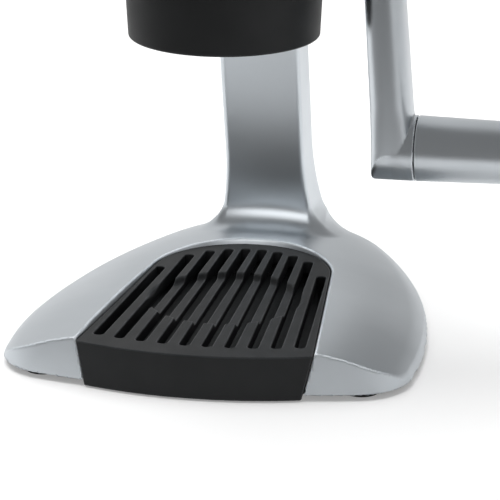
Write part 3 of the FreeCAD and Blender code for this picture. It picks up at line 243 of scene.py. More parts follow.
# ---- meshes from fields ----------------------------------------------------------------------
def surface_net(field, low, high, step):
    """One vertex in each grid cell that the surface crosses, a quad on each crossed grid edge."""
    axes = [np.arange(a, b + step, step, dtype=np.float32) for a, b in zip(low, high)]
    counts = [len(axis) for axis in axes]
    value = field(*np.meshgrid(*axes, indexing="ij", sparse=True))
    value = np.ascontiguousarray(np.broadcast_to(value, counts), dtype=np.float32)
    inside = value < 0
    value = value.ravel()
    jumps = (counts[1] * counts[2], counts[2], 1)
    quads, crossings = [], []
    for axis in range(3):
        ends = [slice(None)] * 3
        starts = [slice(None)] * 3
        starts[axis], ends[axis] = slice(None, -1), slice(1, None)
        spots = np.argwhere(inside[tuple(starts)] != inside[tuple(ends)])
        flat = spots @ np.array(jumps)
        here, there = value[flat], value[flat + jumps[axis]]
        spots = spots.astype(float)
        spots[:, axis] += here / (here - there)
        u, v = jumps[(axis + 1) % 3], jumps[(axis + 2) % 3]
        ring = np.stack([flat - u - v, flat - v, flat, flat - u], axis=1)
        outwards = here < 0
        quads.append(np.where(outwards[:, None], ring, ring[:, ::-1]))
        crossings.append(spots)
    quads, crossings = np.concatenate(quads), np.concatenate(crossings)
    cells, corner = np.unique(quads, return_inverse=True)
    corner = corner.reshape(-1, 4)
    hits = np.bincount(corner.ravel(), minlength=len(cells))
    columns = []
    for axis in range(3):
        total = np.bincount(corner.ravel(), weights=np.repeat(crossings[:, axis], 4))
        columns.append(low[axis] + step * total / hits)
    return np.stack(columns, axis=1), corner


def gradient(field, spots):
    columns = []
    for axis in range(3):
        shift = np.zeros(3)
        shift[axis] = GRADIENT_REACH
        rise = field(*(spots + shift).T) - field(*(spots - shift).T)
        columns.append(rise / (2 * GRADIENT_REACH))
    return np.stack(columns, axis=1)


def steepness(slope):
    return np.maximum((slope ** 2).sum(axis=1), LEAST_STEEPNESS)[:, None]


def neighbour_mean(spots, quads):
    start = quads.ravel()
    end = np.roll(quads, -1, axis=1).ravel()
    both = np.concatenate([start, end])
    others = np.concatenate([end, start])
    count = np.bincount(both)
    sums = [np.bincount(both, weights=spots[others, axis]) for axis in range(3)]
    return np.stack(sums, axis=1) / count[:, None]


def field_mesh(field, low, high, step, passes=4):
    """A smooth quad mesh of a field's surface: evened out along it and drawn onto it."""
    spots, quads = surface_net(field, low, high, step)
    for _ in range(passes):
        slope = gradient(field, spots)
        slide = neighbour_mean(spots, quads) - spots
        slide -= slope * (slide * slope).sum(axis=1)[:, None] / steepness(slope)
        spots = spots + slide / 2
        slope = gradient(field, spots)
        move = field(*spots.T)[:, None] * slope / steepness(slope)
        length = np.maximum(hypot(*move.T), TINY)[:, None]
        spots = spots - move * np.minimum(1, 0.5 * step / length)
    normals = gradient(field, spots)
    normals /= np.maximum(hypot(*normals.T), TINY)[:, None]
    return spots, quads, normals


def bend(field, spots, reach=BEND_REACH):
    """How sharply the surface turns at each vertex: 1 on an outer edge, -1 in an inner one."""
    total = -6 * field(*spots.T)
    for shift in np.eye(3) * reach:
        total += field(*(spots + shift).T) + field(*(spots - shift).T)
    return np.clip(total / reach ** 2 / FULL_BEND, -1, 1)


# ---- pieces ----------------------------------------------------------------------------------
RECORD = frame["record"]
BODY_OF = {node: body for body, nodes in RECORD["behaviour"]["bodies"].items() for node in nodes}
SLOT_OF = {part["node"]: part["material_slot"] for part in RECORD["subparts"]}


def new_piece(name, spots, faces, node, bends, normals=None):
    """A smooth-shaded mesh that rides with a CAD node's body and stands for that node."""
    mesh = bpy.data.meshes.new(name)
    mesh.from_pydata((spots * MM).tolist(), [], faces)
    mesh.polygons.foreach_set("use_smooth", [True] * len(mesh.polygons))
    mesh.update()
    if normals is not None:
        mesh.normals_split_custom_set_from_vertices(normals.tolist())
    values = mesh.attributes.new("bend", "FLOAT", "POINT").data
    values.foreach_set("value", bends.astype(np.float32))
    piece = bpy.data.objects.new(name, mesh)
    bpy.context.scene.collection.objects.link(piece)
    mesh.materials.append(MATERIALS[SLOT_OF[node]])
    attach(piece, BODY_OF[node])
    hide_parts(node)


def field_piece(name, field, node, low, high, step):
    spots, quads, normals = field_mesh(field, low, high, step)
    new_piece(name, spots, quads.tolist(), node, bend(field, spots), normals)


# ---- stand -----------------------------------------------------------------------------------
TAIL_Y = COLUMN_FOOT_Y + COLUMN_DEPTH + BASE_TAIL
REAR_Y = TAIL_Y - BASE_REAR_R
SIDE_R = (
    (BASE_HALF_WIDTH ** 2 + (REAR_Y - BASE_WIDEST_Y) ** 2 - BASE_REAR_R ** 2)
    / (2 * (BASE_HALF_WIDTH - BASE_REAR_R)))
SIDE_X = BASE_HALF_WIDTH - SIDE_R
FRONT_CENTRE_Y = BASE_FRONT_Y + BASE_FRONT_R
COLUMN_FLARE_TOP = DECK_Z + COLUMN_FLARE_H
POCKET_CUT_TOP_Z = 3 * DECK_Z


def corner_centre():
    """Centre of the front corner's arc, which touches the front and the side arc from inside."""
    front, side = np.array([0.0, FRONT_CENTRE_Y]), np.array([SIDE_X, BASE_WIDEST_Y])
    front_r, side_r = BASE_FRONT_R - BASE_CORNER_R, SIDE_R - BASE_CORNER_R
    gap = side - front
    span = np.hypot(*gap)
    along = (front_r ** 2 - side_r ** 2 + span ** 2) / (2 * span)
    off = math.sqrt(front_r ** 2 - along ** 2)
    unit = gap / span
    normal = np.array([-unit[1], unit[0]])
    spots = [front + unit * along + normal * off, front + unit * along - normal * off]
    return max(spots, key=lambda spot: spot[0])


CORNER_X, CORNER_Y = corner_centre()


def rim_field(x, y):
    """Level distance from the side arcs and the tail."""
    tail_y = y - REAR_Y
    at_tail = (tail_y > 0) & (abs(x) * (REAR_Y - BASE_WIDEST_Y) <= tail_y * -SIDE_X)
    tail = hypot(x, tail_y) - BASE_REAR_R
    return np.where(at_tail, tail, hypot(abs(x) - SIDE_X, y - BASE_WIDEST_Y) - SIDE_R)


def outline_field(x, y):
    """Level distance from the whole outline of the base."""
    beside, ahead = abs(x) - CORNER_X, y - CORNER_Y
    front_way = (CORNER_X, CORNER_Y - FRONT_CENTRE_Y)
    side_way = (CORNER_X - SIDE_X, CORNER_Y - BASE_WIDEST_Y)
    past_front = front_way[0] * ahead > front_way[1] * beside
    past_side = beside * side_way[1] > ahead * side_way[0]
    corner = hypot(beside, ahead) - BASE_CORNER_R
    front = hypot(x, y - FRONT_CENTRE_Y) - BASE_FRONT_R
    return np.where(past_front & past_side, corner, np.maximum(rim_field(x, y), front))


def tray_field(x, y, z, grow=0.0):
    """The tray's slanted sides and round end, open at the front, grown by a level amount."""
    across, along = abs(x), y - TRAY_REAR_Y
    round_end = along * cos(TRAY_FAN) > across * sin(TRAY_FAN)
    straight = across * cos(TRAY_FAN) + along * sin(TRAY_FAN)
    level = np.where(round_end, hypot(across, along), straight)
    inwards = (TRAY_TOP_Z - z) * tan(TRAY_SIDE_SLANT)
    return (level - TRAY_REAR_R - grow + inwards) * cos(TRAY_SIDE_SLANT)


def tray_front_field(x, y, z, shift=0.0):
    """The tray's curved and slanted front, moved back by shift."""
    centre_y = TRAY_FRONT_Y + TRAY_FRONT_R + shift - (TRAY_TOP_Z - z) * tan(TRAY_FRONT_SLANT)
    return (hypot(x, y - centre_y) - TRAY_FRONT_R) * cos(TRAY_FRONT_SLANT)


def column_front(z):
    return COLUMN_FOOT_Y - (z - DECK_Z) * tan(COLUMN_LEAN)


def column_field(x, y, z):
    """The leaning column, which flares towards the deck."""
    reach = np.clip((COLUMN_FLARE_TOP - z) / (COLUMN_FLARE_TOP - DECK_Z), 0, 1)
    flare = COLUMN_FLARE * reach ** 2
    half_depth = (COLUMN_DEPTH + flare) / 2
    along = y - column_front(z) - half_depth
    edge_r = np.where(along < 0, COLUMN_FRONT_EDGE_R, COLUMN_REAR_EDGE_R)
    level = rounded_rectangle(x, along, COLUMN_HALF_WIDTH + flare, half_depth, edge_r)
    return level * cos(COLUMN_LEAN)


def stand_field(x, y, z):
    outline = outline_field(x, y)
    skirt = (outline + z * tan(SKIRT_LEAN)) * cos(SKIRT_LEAN)

    rearness = soft_step(y, *REAR_RUN)
    inset, band = -rim_field(x, y) - REAR_SHIFT * rearness, RIM_BAND + REAR_SOFTER * rearness
    fall, roll = np.maximum(0, 1 - inset / band), np.maximum(0, 1 - inset / ROLL_BAND)
    slope = 2 * RIM_DROP / band * fall + 2 * ROLL_DROP / ROLL_BAND * roll
    height = np.maximum(DECK_Z - RIM_DROP * fall ** 2 - ROLL_DROP * roll ** 2, RIM_LOW_Z)
    deck = (z - height) / np.sqrt(1 + slope ** 2)
    crease_r = CREASE_R + (SIDE_CREASE_R - CREASE_R) * soft_step(y, *CREASE_RUN)
    body = round_common(deck, skirt, crease_r)

    column = round_common(column_field(x, y, z), z - COLUMN_TOP_Z, SEAM_EDGE_R)
    body = np.maximum(round_union(body, column, FOOT_FILLET), skirt)
    body = round_common(body, -z, BOTTOM_EDGE_R)

    pocket = np.maximum(tray_field(x, y, z, POCKET_GAP), z - POCKET_CUT_TOP_Z)
    edge_share = soft_step(y, *POCKET_EDGE_RUN)
    edge_r = POCKET_FRONT_EDGE_R + (POCKET_EDGE_R - POCKET_FRONT_EDGE_R) * edge_share
    body = round_common(body, -pocket, edge_r)

    from_wall = outline + SHELL
    ceiling = np.minimum(PLATE_T + PLATE_SEAT_PLAY, PLATE_SEAT_RIM_Z - PLATE_SEAT_RISE * from_wall)
    return np.maximum(body, -np.maximum(from_wall, z - ceiling))


# ---- tray ------------------------------------------------------------------------------------
def slot_runs():
    """Both ends of the middle line of each slot: they point to one place behind the stand."""
    centre_y = TRAY_FRONT_Y + TRAY_FRONT_R
    start_x = TRAY_REAR_R * cos(TRAY_FAN)
    start_y = TRAY_REAR_Y + TRAY_REAR_R * sin(TRAY_FAN)
    along = -start_x * sin(TRAY_FAN) - (centre_y - start_y) * cos(TRAY_FAN)
    off = start_x ** 2 + (centre_y - start_y) ** 2 - along ** 2
    front_corner_x = start_x + sin(TRAY_FAN) * (along + math.sqrt(TRAY_FRONT_R ** 2 - off))
    spread = front_corner_x - SLOT_SIDE_BORDER
    end_r = TRAY_REAR_R - SLOT_REAR_BORDER
    runs = []
    for i in range(SLOT_COUNT):
        front_x = (2.0 * i / (SLOT_COUNT - 1) - 1) * spread
        arc_y = centre_y - math.sqrt(TRAY_FRONT_R ** 2 - front_x ** 2)
        front_y = arc_y + SLOT_BORDER + SLOT_HALF_WIDTH
        narrow = front_x * (SLOT_FAN_Y - TRAY_REAR_Y) / (SLOT_FAN_Y - front_y)
        end_y = TRAY_REAR_Y + math.sqrt(max(0.0, end_r ** 2 - narrow ** 2)) - SLOT_REAR_GAP
        share = (end_y - front_y) / (SLOT_FAN_Y - front_y)
        runs.append(((front_x, front_y), (front_x * (1 - share), end_y)))
    return runs


SLOT_RUNS = slot_runs()


def slot_field(x, y):
    """Level distance from the nearest slot."""
    nearest = FAR
    for (start_x, start_y), (end_x, end_y) in SLOT_RUNS:
        run_x, run_y = end_x - start_x, end_y - start_y
        share = ((x - start_x) * run_x + (y - start_y) * run_y) / (run_x ** 2 + run_y ** 2)
        share = np.clip(share, 0, 1)
        gap = hypot(x - start_x - run_x * share, y - start_y - run_y * share)
        nearest = np.minimum(nearest, gap - SLOT_HALF_WIDTH)
    return nearest


def tray_block(x, y, z, grow=0.0, shift=0.0, edge_r=SHARP_R):
    return round_common(tray_field(x, y, z, grow), tray_front_field(x, y, z, shift), edge_r)


def grille_field(x, y, z):
    """The slotted top with the fascia in front and the lip that drops into the pan."""
    under = TRAY_TOP_Z - GRILLE_T
    block = tray_block(x, y, z, edge_r=FASCIA_EDGE_R)
    cover = round_common(block, np.maximum(z - TRAY_TOP_Z, FASCIA_LOW_Z - z), SHARP_R)
    behind = np.maximum(z - under, tray_front_field(x, y, z, FASCIA_T))
    cover = round_common(cover, -behind, SHARP_R)

    gap = PAN_GAP + PAN_WALL + PAN_GAP
    lip = tray_block(x, y, z, -gap, FASCIA_T + gap)
    lip = np.maximum(lip, -tray_block(x, y, z, -gap - LIP_T, FASCIA_T + gap + LIP_T))
    lip = round_common(lip, np.maximum(z - under - LIP_ROOT, under - LIP_H - z), SHARP_R)
    cover = np.minimum(cover, lip)

    seat_z = TRAY_TOP_Z - SEAT_DEPTH
    recess = (hypot(x, y) - SEAT_R - (z - seat_z) * tan(SEAT_SLOPE)) * cos(SEAT_SLOPE)
    cover = round_common(cover, -round_common(recess, seat_z - z, SEAT_EDGE_R), SEAT_EDGE_R)
    slots = np.maximum(slot_field(x, y), tray_field(x, y, z, -SLOT_LEAST_WALL))
    return round_common(cover, -slots, SHARP_R)


def pan_field(x, y, z):
    floor_z = PLATE_T + PAN_GAP
    front = FASCIA_T + PAN_GAP
    outer = tray_block(x, y, z, -PAN_GAP, front, PAN_EDGE_R)
    outer = round_common(outer, np.maximum(z - TRAY_TOP_Z + GRILLE_T, floor_z - z), SHARP_R)
    inner = tray_block(x, y, z, -PAN_GAP - PAN_WALL, front + PAN_WALL, PAN_INNER_EDGE_R)
    inner = round_common(inner, floor_z + PAN_WALL - z, PAN_EDGE_R)
    return round_common(outer, -inner, SHARP_R)


# ---- head ------------------------------------------------------------------------------------
def neck_field(x, y, z):
    """The part of the housing that carries on from the column and runs into its back."""
    part = np.clip((z - COLUMN_TOP_Z) / (NECK_TOP_Z - COLUMN_TOP_Z), 0, 1)
    front = column_front(COLUMN_TOP_Z)
    rear = front + COLUMN_DEPTH
    front_y = front + (RING_BOTTOM_R - NECK_ROOT - front) * np.minimum(1, NECK_FRONT_HASTE * part)
    bow = (1 - NECK_BACK_BOW) * part + NECK_BACK_BOW * part ** 2
    rear_y = rear + (housing_radius(NECK_TOP_Z) - NECK_SINK - rear) * bow
    along = y - (front_y + rear_y) / 2
    edge_r = np.where(along < 0, COLUMN_FRONT_EDGE_R, COLUMN_REAR_EDGE_R)
    level = rounded_rectangle(x, along, COLUMN_HALF_WIDTH, (rear_y - front_y) / 2, edge_r)
    ends = np.maximum(COLUMN_TOP_Z - z, z - NECK_TOP_Z)
    return round_common(level * cos(2 * COLUMN_LEAN), ends, SEAM_EDGE_R)


def housing_field(x, y, z):
    out = hypot(x, y)
    body = (out - housing_radius(z)) * cos(HEAD_DRAFT)
    body = round_union(body, neck_field(x, y, z), NECK_BLEND)
    right = rod_field(x, y, z, BOSS_R, BOSS_R, BOSS_END_X, HUB_Z, HOUSING_EDGE_R)
    left = rod_field(x, y, z, LEFT_BOSS_R, -LEFT_BOSS_END_X, -BOSS_R, HUB_Z, HOUSING_EDGE_R)
    body = round_union(body, np.minimum(right, left), BOSS_BLEND)
    ends = np.maximum(HOUSING_BOTTOM_Z - z, z - HOUSING_TOP_Z)
    body = round_common(body, ends, HOUSING_EDGE_R)
    body = round_common(body, (bore_radius(z) - out) * cos(HEAD_DRAFT), SEAM_EDGE_R)
    bush_r = np.where(x > 0, BUSH_R, LEFT_BUSH_R)
    return np.maximum(body, np.minimum(bush_r - hypot(y, z - HUB_Z), abs(x) - BOSS_R))


# ---- crank -----------------------------------------------------------------------------------
def arm_field(x, y, z):
    """A leaning bar with a section between an ellipse and a box, cut round at the elbow."""
    part = np.clip((HUB_Z - z) / CRANK_RADIUS, 0, 1)

    def between(top, bottom):
        return top + (bottom - top) * part

    half_x = between(ARM_TOP_HALF[0], ARM_BOTTOM_HALF[0])
    half_y = between(ARM_TOP_HALF[1], ARM_BOTTOM_HALF[1])
    middle_x = HUB_START_X + between(ARM_TOP_OUT, ARM_BOTTOM_OUT)
    squarer = soft_step(z, *(GRIP_Z + up for up in ELBOW_SQUARE_RUN))
    power = between(ARM_TOP_POWER, ARM_BOTTOM_POWER) + (ELBOW_POWER - ARM_BOTTOM_POWER) * squarer
    across = np.maximum(abs(x - middle_x) / half_x, LEAST_SHARE)
    along = np.maximum(abs(y) / half_y, LEAST_SHARE)
    size = (across ** power + along ** power) ** (1 / power)
    steep = hypot(
        (across / size) ** (power - 1) / half_x, (along / size) ** (power - 1) / half_y)
    bar = (size - 1) / np.maximum(steep, 0.5 / ARM_TOP_HALF[1])
    elbow_r = np.maximum(ELBOW_R * np.clip((GRIP_Z - z) / ELBOW_R_RUN, 0, 1), LEAST_R)
    elbow = round_common(bar, hypot(y, z - GRIP_Z) - GRIP_R, elbow_r)
    return round_common(np.where(z < GRIP_Z, elbow, bar), z - HUB_Z, SEAM_EDGE_R)


def crank_field(x, y, z):
    """Hub, arm and the short stub that the grip follows."""
    stub = np.maximum(hypot(y, z - GRIP_Z) - GRIP_R, HUB_START_X + ARM_BOTTOM_OUT - x)
    crease_r = np.maximum(ARM_CREASE_R * np.clip((z - GRIP_Z) / GRIP_R, 0, 1), LEAST_R)
    lower = round_union(arm_field(x, y, z), stub, crease_r)
    lower = round_common(lower, x - STUB_END_X, JOINT_EDGE_R)
    hub = rod_field(x, y, z, HUB_R, HUB_START_X, HUB_END_X, HUB_Z, HUB_EDGE_R)
    return round_union(lower, hub, HUB_BLEND)


# ---- turned pieces ---------------------------------------------------------------------------
def rounded_profile(corners, closed):
    """Points (radius, place) along an outline whose corners are (radius, place, rounding)."""
    points = []
    count = len(corners)
    for i, corner in enumerate(corners):
        here = np.array(corner[:2], float)
        rounding = corner[2] if len(corner) > 2 else 0.0
        at_end = not closed and i in (0, count - 1)
        if at_end or rounding == 0:
            points.append(here)
            continue
        back = np.array(corners[i - 1][:2], float) - here
        ahead = np.array(corners[(i + 1) % count][:2], float) - here
        back_length, ahead_length = np.hypot(*back), np.hypot(*ahead)
        back, ahead = back / back_length, ahead / ahead_length
        half = math.acos(float(np.clip(back @ ahead, -1, 1))) / 2
        most = ROUNDING_SHARE * min(back_length, ahead_length)
        reach = min(rounding / math.tan(half), most)
        middle = here + (back + ahead) / np.hypot(*(back + ahead)) * reach / math.cos(half)
        first, last = here + back * reach - middle, here + ahead * reach - middle
        turn = math.pi - 2 * half
        steps = max(2, math.ceil(math.degrees(turn) / ARC_STEP))
        if back_length > reach + 3 * HOLD:
            points.append(here + back * (reach + HOLD))
        for k in range(steps + 1):
            share = k / steps
            way = math.sin((1 - share) * turn) * first + math.sin(share * turn) * last
            points.append(middle + way / math.sin(turn))
        if ahead_length > reach + 3 * HOLD:
            points.append(here + ahead * (reach + HOLD))
    return points


def turned_piece(name, node, corners, along_x=False, axis_z=0.0, closed=False, segments=144,
                 places=((0, 0),)):
    """An outline turned about the Z axis, or a line along X at a height, once at each place."""
    outline = np.array(rounded_profile(corners, closed))
    spots, rings, faces = [], [], []
    for radius, place in outline:
        turns = segments if radius > ON_AXIS else 1
        rings.append([len(spots) + k for k in range(turns)])
        for k in range(turns):
            angle = 2 * math.pi * k / segments
            side, up = radius * math.cos(angle), radius * math.sin(angle)
            spots.append((place, side, axis_z + up) if along_x else (side, up, place))
    for first, second in zip(rings, rings[1:] + rings[:1] if closed else rings[1:]):
        for k in range(segments):
            loop = [first[k % len(first)], first[(k + 1) % len(first)],
                    second[(k + 1) % len(second)], second[k % len(second)]]
            faces.append(list(dict.fromkeys(loop)))

    ahead = np.roll(outline, -1, axis=0)
    area = (outline[:, 0] * ahead[:, 1] - ahead[:, 0] * outline[:, 1]).sum()
    if (area > 0) == along_x:
        faces = [face[::-1] for face in faces]
    run, back = ahead - outline, outline - np.roll(outline, 1, axis=0)
    turn = np.arctan2(back[:, 0] * run[:, 1] - back[:, 1] * run[:, 0], (back * run).sum(axis=1))
    curve = np.sign(area) * 2 * turn / (hypot(*run.T) + hypot(*back.T) + TINY) / FULL_BEND
    curve = np.clip(curve, -1, 1)
    bends = np.concatenate([[value] * len(ring) for value, ring in zip(curve, rings)])

    count = len(spots)
    spots = np.concatenate([np.array(spots) + (x, y, 0) for x, y in places])
    faces = [[k + i * count for k in face] for i in range(len(places)) for face in faces]
    new_piece(name, spots, faces, node, np.tile(bends, len(places)))


def dome(radius, rise, top, count=14, inner=0.0):
    """Points on a round crown, from its rim to its middle."""
    ball = (radius ** 2 + rise ** 2) / (2 * rise)
    points = []
    for k in range(count + 1):
        out = inner + (radius - inner) * math.cos(math.pi / 2 * k / count)
        points.append((out, top - ball + math.sqrt(ball ** 2 - out ** 2)))
    return points


def arc_points(middle_r, middle_z, radius, start, end, count):
    angles = [start + (end - start) * k / count for k in range(count + 1)]
    return [(middle_r + radius * cos(angle), middle_z + radius * sin(angle)) for angle in angles]


# ---- materials -------------------------------------------------------------------------------
EDGE_BENDS, CORNER_BENDS = (0.25, 0.8), (-0.1, -0.7)    # where the pale edges (rubbing and a painted highlight) and the painted corner shade begin and are full
EDGE_CLOUDS, EDGE_LEAST = (0.35, 0.6), 0.7              # the pale edges, rubbing and painted highlight alike, vary with the broad pattern
CLOUD_DETAIL, GRAIN_DETAIL, BUMP_STRENGTH = 3.0, 2.0, 0.6


def add(tree, kind, **values):
    """A shader node with its sockets and settings; a socket is named, a setting is lower case."""
    node = tree.nodes.new(kind)
    for name, value in values.items():
        target = node.inputs.get(name.replace("_", " ")) if name[0].isupper() else None
        if target is None:
            setattr(node, name, value)
        elif isinstance(value, bpy.types.NodeSocket):
            tree.links.new(value, target)
        else:
            target.default_value = value
    return node


def ramp(tree, value, low, high, to_low, to_high):
    """A soft step from to_low to to_high while value goes from low to high."""
    return add(tree, "ShaderNodeMapRange", interpolation_type="SMOOTHSTEP", Value=value,
               From_Min=low, From_Max=high, To_Min=to_low, To_Max=to_high).outputs["Result"]


def maths(tree, operation, *values):
    node = tree.nodes.new("ShaderNodeMath")
    node.operation = operation
    for socket, value in zip(node.inputs, values):
        if isinstance(value, bpy.types.NodeSocket):
            tree.links.new(value, socket)
        else:
            socket.default_value = value
    return node.outputs[0]


def surface(name, color, metallic, roughness, broad, fine, mottle, uneven, relief,
            stretch=(1, 1, 1), edge_wear_and_highlight=0.0, polished=0.0, corner_shade=0.0, edge_highlight_less_metal=0.0, specular=0.5):
    """Uneven colour and gloss, a fine relief, paler and smoother edges (rubbing and a painted
    highlight) and darker, duller corners (painted shade).

    broad and fine are the sizes of the two patterns in millimetres, relief the depth in
    micrometres.  mottle and uneven are how far colour and roughness vary.  Edges are paler by
    worn, as rubbing and a painted highlight line, smoother by polished and less metallic by
    bare, so that the lamps light them up as more of that painted highlight; inner corners and
    creases are darker by grime, which is painted shade.
    """
    material = bpy.data.materials.new(name)
    material.use_nodes = True
    tree = material.node_tree
    shader = tree.nodes["Principled BSDF"]
    place = tree.nodes.new("ShaderNodeTexCoord").outputs["Object"]
    place = add(tree, "ShaderNodeMapping", Vector=place, Scale=stretch).outputs["Vector"]
    clouds, grain = (
        add(tree, "ShaderNodeTexNoise", Vector=place, Scale=1 / MM / size, Detail=detail).outputs[0]
        for size, detail in ((broad, CLOUD_DETAIL), (fine, GRAIN_DETAIL)))
    turn = add(tree, "ShaderNodeAttribute", attribute_name="bend").outputs["Fac"]
    rub_and_highlight_patches = ramp(tree, clouds, *EDGE_CLOUDS, EDGE_LEAST, 1.0)
    # edge: outer edges paler, smoother and less metallic: rubbing, and a painted highlight line
    # along them
    edge = maths(tree, "MULTIPLY", ramp(tree, turn, *EDGE_BENDS, 0, 1), rub_and_highlight_patches)
    # corner: painted shade, darker and duller in inner corners and creases
    corner = ramp(tree, turn, *CORNER_BENDS, 0, corner_shade)

    pattern = maths(tree, "MULTIPLY_ADD", maths(tree, "SUBTRACT", clouds, 0.5), 2 * mottle, 1.0)
    # tone carries the painted edge highlight and the painted corner shade
    tone = maths(tree, "SUBTRACT", maths(tree, "MULTIPLY_ADD", edge, edge_wear_and_highlight, pattern), corner)
    paint = add(tree, "ShaderNodeVectorMath", operation="SCALE", Scale=tone)
    paint.inputs[0].default_value = color
    tree.links.new(paint.outputs[0], shader.inputs["Base Color"])

    gloss = maths(tree, "MULTIPLY_ADD", maths(tree, "SUBTRACT", grain, clouds), uneven, roughness)
    gloss = maths(tree, "ADD", gloss, corner)
    gloss = maths(tree, "SUBTRACT", gloss, maths(tree, "MULTIPLY", edge, polished))
    tree.links.new(gloss, shader.inputs["Roughness"])
    bump = add(tree, "ShaderNodeBump", Height=grain, Strength=BUMP_STRENGTH, Distance=relief * 1e-6)
    tree.links.new(bump.outputs["Normal"], shader.inputs["Normal"])
    shader.inputs["Metallic"].default_value = metallic
    # less metallic edges catch the diffuse lamp light: more of the painted edge highlight
    if edge_highlight_less_metal:
        less = maths(tree, "MULTIPLY_ADD", edge, -edge_highlight_less_metal, metallic)
        tree.links.new(less, shader.inputs["Metallic"])
    shader.inputs["Specular IOR Level"].default_value = specular
    return material


# worn and bare paint a highlight along the edges besides rubbing; grime paints shade into the
# corners
MATERIALS = {
    "satin_silver": surface(
        "satin_silver_cast", color=(0.610, 0.648, 0.680), metallic=1.0, roughness=0.38,
        broad=24, fine=0.5, mottle=0.03, uneven=0.05, relief=12,
        edge_wear_and_highlight=0.5, polished=0.12, corner_shade=0.08, edge_highlight_less_metal=0.85),
    "satin_chrome": surface(
        "satin_metal", color=(0.570, 0.604, 0.634), metallic=1.0, roughness=0.31,
        broad=18, fine=0.4, mottle=0.03, uneven=0.05, relief=8,
        edge_wear_and_highlight=0.45, polished=0.10, corner_shade=0.08, edge_highlight_less_metal=0.5),
    "black_plastic": surface(
        "black_moulding", color=(0.013, 0.014, 0.015), metallic=0.0, roughness=0.55,
        broad=14, fine=0.5, mottle=0.15, uneven=0.10, relief=40,
        edge_wear_and_highlight=1.2, polished=0.10, corner_shade=0.10, specular=0.32),
    "bearing_plastic": surface(
        "natural_acetal", color=(0.80, 0.80, 0.77), metallic=0.0, roughness=0.42,
        broad=10, fine=0.6, mottle=0.04, uneven=0.08, relief=15, edge_wear_and_highlight=0.1, corner_shade=0.12),
    "steel": surface(
        "stainless_steel", color=(0.64, 0.65, 0.66), metallic=1.0, roughness=0.30,
        broad=12, fine=0.5, mottle=0.06, uneven=0.14, relief=10,
        stretch=(0.08, 1, 1), edge_wear_and_highlight=0.3, polished=0.08, corner_shade=0.15),
    "rubber": surface(
        "soft_rubber", color=(0.030, 0.030, 0.031), metallic=0.0, roughness=0.82,
        broad=9, fine=0.7, mottle=0.25, uneven=0.10, relief=60, edge_wear_and_highlight=0.5, corner_shade=0.05),
}
for node, piece in frame["nodes"].items():
    for slot in piece.material_slots:
        slot.material = MATERIALS[SLOT_OF[node]]


# ---- round pieces and fasteners --------------------------------------------------------------
def chute_ring():
    top, spigot_top = HOUSING_BOTTOM_Z, HOUSING_BOTTOM_Z + RING_SPIGOT_H
    turned_piece("outlet_ring", "chute_ring", [
        (RING_BOTTOM_R, RING_BOTTOM_Z, RING_EDGE_R),
        (head_radius(top), top, RING_STEP_R),
        (bore_radius(top) - HEAD_FIT, top, FITTED_R),
        (bore_radius(spigot_top) - HEAD_FIT, spigot_top, RING_SPIGOT_R),
        (head_radius(spigot_top) - RING_WALL, spigot_top, RING_SPIGOT_R),
        (RING_BOTTOM_R - RING_WALL, RING_BOTTOM_Z, RING_EDGE_R),
    ], closed=True)


def end_cap():
    start, radius = -LEFT_BOSS_END_X, LEFT_BOSS_R - END_CAP_BORDER
    crown_top = -start + END_CAP_EDGE + END_CAP_CROWN
    crown = [(r, -out) for r, out in dome(radius - END_CAP_FLAT, END_CAP_CROWN, crown_top)]
    turned_piece("bearing_cover", "end_cap", [
        (0, start), (radius, start, FITTED_R), (radius, start - END_CAP_EDGE, END_CAP_R)] + crown,
        along_x=True, axis_z=HUB_Z)


def hub_cap():
    plug_x, end_x, radius = HUB_END_X - CAP_PLUG, HUB_END_X + CAP_T, HUB_R - CAP_BORDER
    turned_piece("hub_button", "hub_cap", [
        (0, plug_x), (CAP_PLUG_R, plug_x, FITTED_R), (CAP_PLUG_R, HUB_END_X),
        (radius, HUB_END_X, FITTED_R), (radius, end_x, CAP_EDGE_R), (0, end_x)],
        along_x=True, axis_z=HUB_Z)


def grip():
    pocket_x = GRIP_END_X - GRIP_POCKET_DEPTH
    turned_piece("turning_grip", "grip", [
        (GRIP_BORE_R, GRIP_START_X, FITTED_R), (GRIP_R, GRIP_START_X, JOINT_EDGE_R),
        (GRIP_TAIL_R, GRIP_END_X, GRIP_END_FILLET), (GRIP_CAP_R, GRIP_END_X, BUTTON_R),
        (GRIP_CAP_R, pocket_x, FITTED_R), (GRIP_BORE_R, pocket_x, FITTED_R)],
        along_x=True, axis_z=GRIP_Z, closed=True)
    inner_x, outer_x = GRIP_END_X - GRIP_CAP_T, GRIP_END_X + GRIP_CAP_PROUD
    turned_piece("grip_button", "grip_cap", [
        (0, inner_x), (GRIP_CAP_R, inner_x, FITTED_R), (GRIP_CAP_R, outer_x, BUTTON_R),
        (0, outer_x)], along_x=True, axis_z=GRIP_Z)


def lid():
    edge_r = housing_radius(HOUSING_TOP_Z)
    inner_r = LID_SKIRT_R - LID_WALL
    foot_z = LID_LOW_Z - LID_SKIRT_H
    outside = dome(edge_r, LID_CROWN, LID_TOP_Z, inner=LID_HOLE_R)
    inside = dome(inner_r, LID_CROWN, LID_TOP_Z - LID_WALL, inner=LID_HOLE_R)
    turned_piece("lid_shell", "lid", [
        (LID_SKIRT_R, foot_z, LID_FOOT_R), (LID_SKIRT_R, LID_LOW_Z, FITTED_R),
        (edge_r, LID_LOW_Z, LID_UNDER_R), (*outside[0], LID_RIM_R)]
        + outside[1:] + inside[:0:-1]
        + [(*inside[0], LID_FOOT_R), (inner_r, foot_z, LID_FOOT_R)], closed=True)


